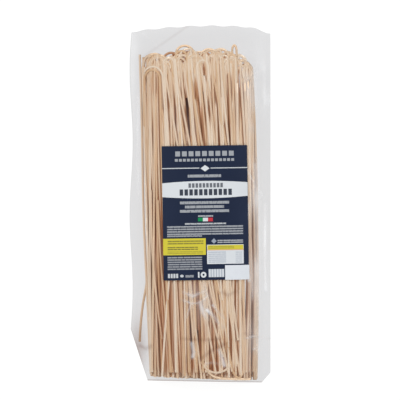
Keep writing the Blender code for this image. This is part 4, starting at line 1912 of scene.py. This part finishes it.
@dataclass(frozen=True)
class Studio:
    """A pale light table, soft lights and a camera that looks straight down, in metres and watts."""

    camera_height: float = 3.0
    target_height: float = 0.018
    floor_albedo: float = 0.15
    floor_glow: float = 0.9
    sky: float = 0.38
    light_size: float = 0.6

    def build(self) -> None:
        """Adds the floor, the lights, the world and the camera."""
        scene = bpy.context.scene
        scene.view_settings.view_transform = "Standard"
        world = bpy.data.worlds.new("studio")
        world.use_nodes = True
        world.node_tree.nodes["Background"].inputs[0].default_value = (1.0, 1.0, 1.0, 1.0)
        world.node_tree.nodes["Background"].inputs[1].default_value = self.sky
        scene.world = world

        bpy.ops.mesh.primitive_plane_add(size=8.0, location=(0.0, 0.0, -0.0004))
        floor = bpy.context.object
        floor.name = "floor"
        n = Nodes("light_table")
        finish = n.surface(
            {
                "Base Color": (self.floor_albedo,) * 3 + (1.0,),
                "Roughness": 0.9,
                "Specular IOR Level": 0.0,
                "Emission Color": (1.0, 1.0, 1.0, 1.0),
                "Emission Strength": self.floor_glow,
            }
        )
        floor.data.materials.append(finish)

        self.light("key_light", (-0.75, 0.55, 1.05), 12.0)
        self.light("right_light", (0.95, 0.1, 0.85), 6.5)
        self.light("foot_light", (0.1, -1.0, 0.9), 3.0)

        data = bpy.data.cameras.new("camera")
        camera = bpy.data.objects.new("camera", data)
        scene.collection.objects.link(camera)
        y = PHOTO.y(PHOTO.middle[1]) * MM
        camera.location = (PHOTO.x(PHOTO.middle[0]) * MM, y, self.camera_height)
        data.sensor_width = 36.0
        reach = self.camera_height - self.target_height
        data.lens = data.sensor_width * reach / (PHOTO.side * PHOTO.pixel * MM)
        data.clip_end = 20.0
        scene.camera = camera

    def light(self, name: str, place: tuple[float, float, float], power: float) -> None:
        """Adds a square soft box that points at the bag.

        Args:
            name: The light's name.
            place: Where it stands.
            power: Its power in watts.
        """
        data = bpy.data.lights.new(name, "AREA")
        data.size = self.light_size
        data.energy = power
        lamp = bpy.data.objects.new(name, data)
        bpy.context.scene.collection.objects.link(lamp)
        lamp.location = place
        lamp.rotation_euler = (-Vector(place)).to_track_quat("-Z", "Y").to_euler()


def dress(obj: bpy.types.Object, material: bpy.types.Material) -> None:
    """Gives a piece its material."""
    obj.data.materials.append(material)


def fill_bag() -> StrandBundle:
    """Lays all the strands, from the back of the bag to its front.

    Returns:
        The bundle.
    """
    bundle = StrandBundle()

    def back_layers(x: Array, y: Array) -> Array:
        """How high the back's layers reach."""
        return BAG.faces(x, y)[0] + 4.6

    def below_front(room: float) -> Surface:
        """A ceiling that far below the bag's front."""
        return lambda x, y: BAG.faces(x, y)[1] - room

    bundle.fill(back_layers, lean=0.0)
    LOG.info("back: %d strands", len(bundle.strands))
    bundle.add_stubs()
    bundle.map.raise_to(CORE.upper)
    bundle.add_short_bends(20, 22.0)
    bundle.fill(below_front(4.6), lean=0.4, bent_share=0.45)
    bundle.fill(below_front(3.2), lean=0.7, bent_share=0.45)
    bundle.add_short_bends(24, 22.0)
    bundle.fill(below_front(1.9), lean=1.0, bent_share=0.45)
    LOG.info("with the middle: %d strands", len(bundle.strands))
    bundle.fill(below_front(0.6), lean=0.9, bent_share=0.2)
    for traced in TOP_BENDS:
        bundle.add_bend(traced)
    bundle.add_short_bends(14, 18.0)
    bundle.hollows = ()
    for traced in LONG_STRANDS:
        bundle.add_traced(traced)
    for traced in LEFT_LOOPS:
        bundle.add_bend(traced)
    for traced in (*OVER_STRANDS, *BASE_BENDS):
        bundle.add_traced(traced)
    bundle.add_stray()
    LOG.info("in all: %d strands", len(bundle.strands))
    return bundle


def main() -> None:
    """Lays the strands, draws the film over them, and builds all pieces and the studio."""
    logging.basicConfig(level=logging.INFO, format="%(name)s: %(message)s")
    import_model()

    bundle = fill_bag()
    pasta = PastaFinish().make()
    kinds = {
        "cut_strands": [s for s in bundle.strands if not s.bends.any()],
        "bent_strands": [s for s in bundle.strands if s.bends.any()],
    }
    pieces = []
    film = Film(bundle)
    film_piece = film.build()
    dress(film_piece, FilmFinish().make())
    for name, strands in kinds.items():
        piece = bundle.build(name, strands, film.depth, sides=12, spacing=9)
        dress(piece, pasta)
        LOG.info("%s: %d strands", name, len(strands))
        pieces.append(piece)
    core = CORE.build()
    dress(core, CoreFinish().make())
    for piece in (*pieces, core, film_piece):
        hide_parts("spaghetti_bag")
    pieces += [core, film_piece, *Papers(film).build()]
    for piece in pieces:
        LOG.info("%s: %d faces", piece.name, len(piece.data.polygons))

    Studio().build()


if __name__ == "__main__":
    main()
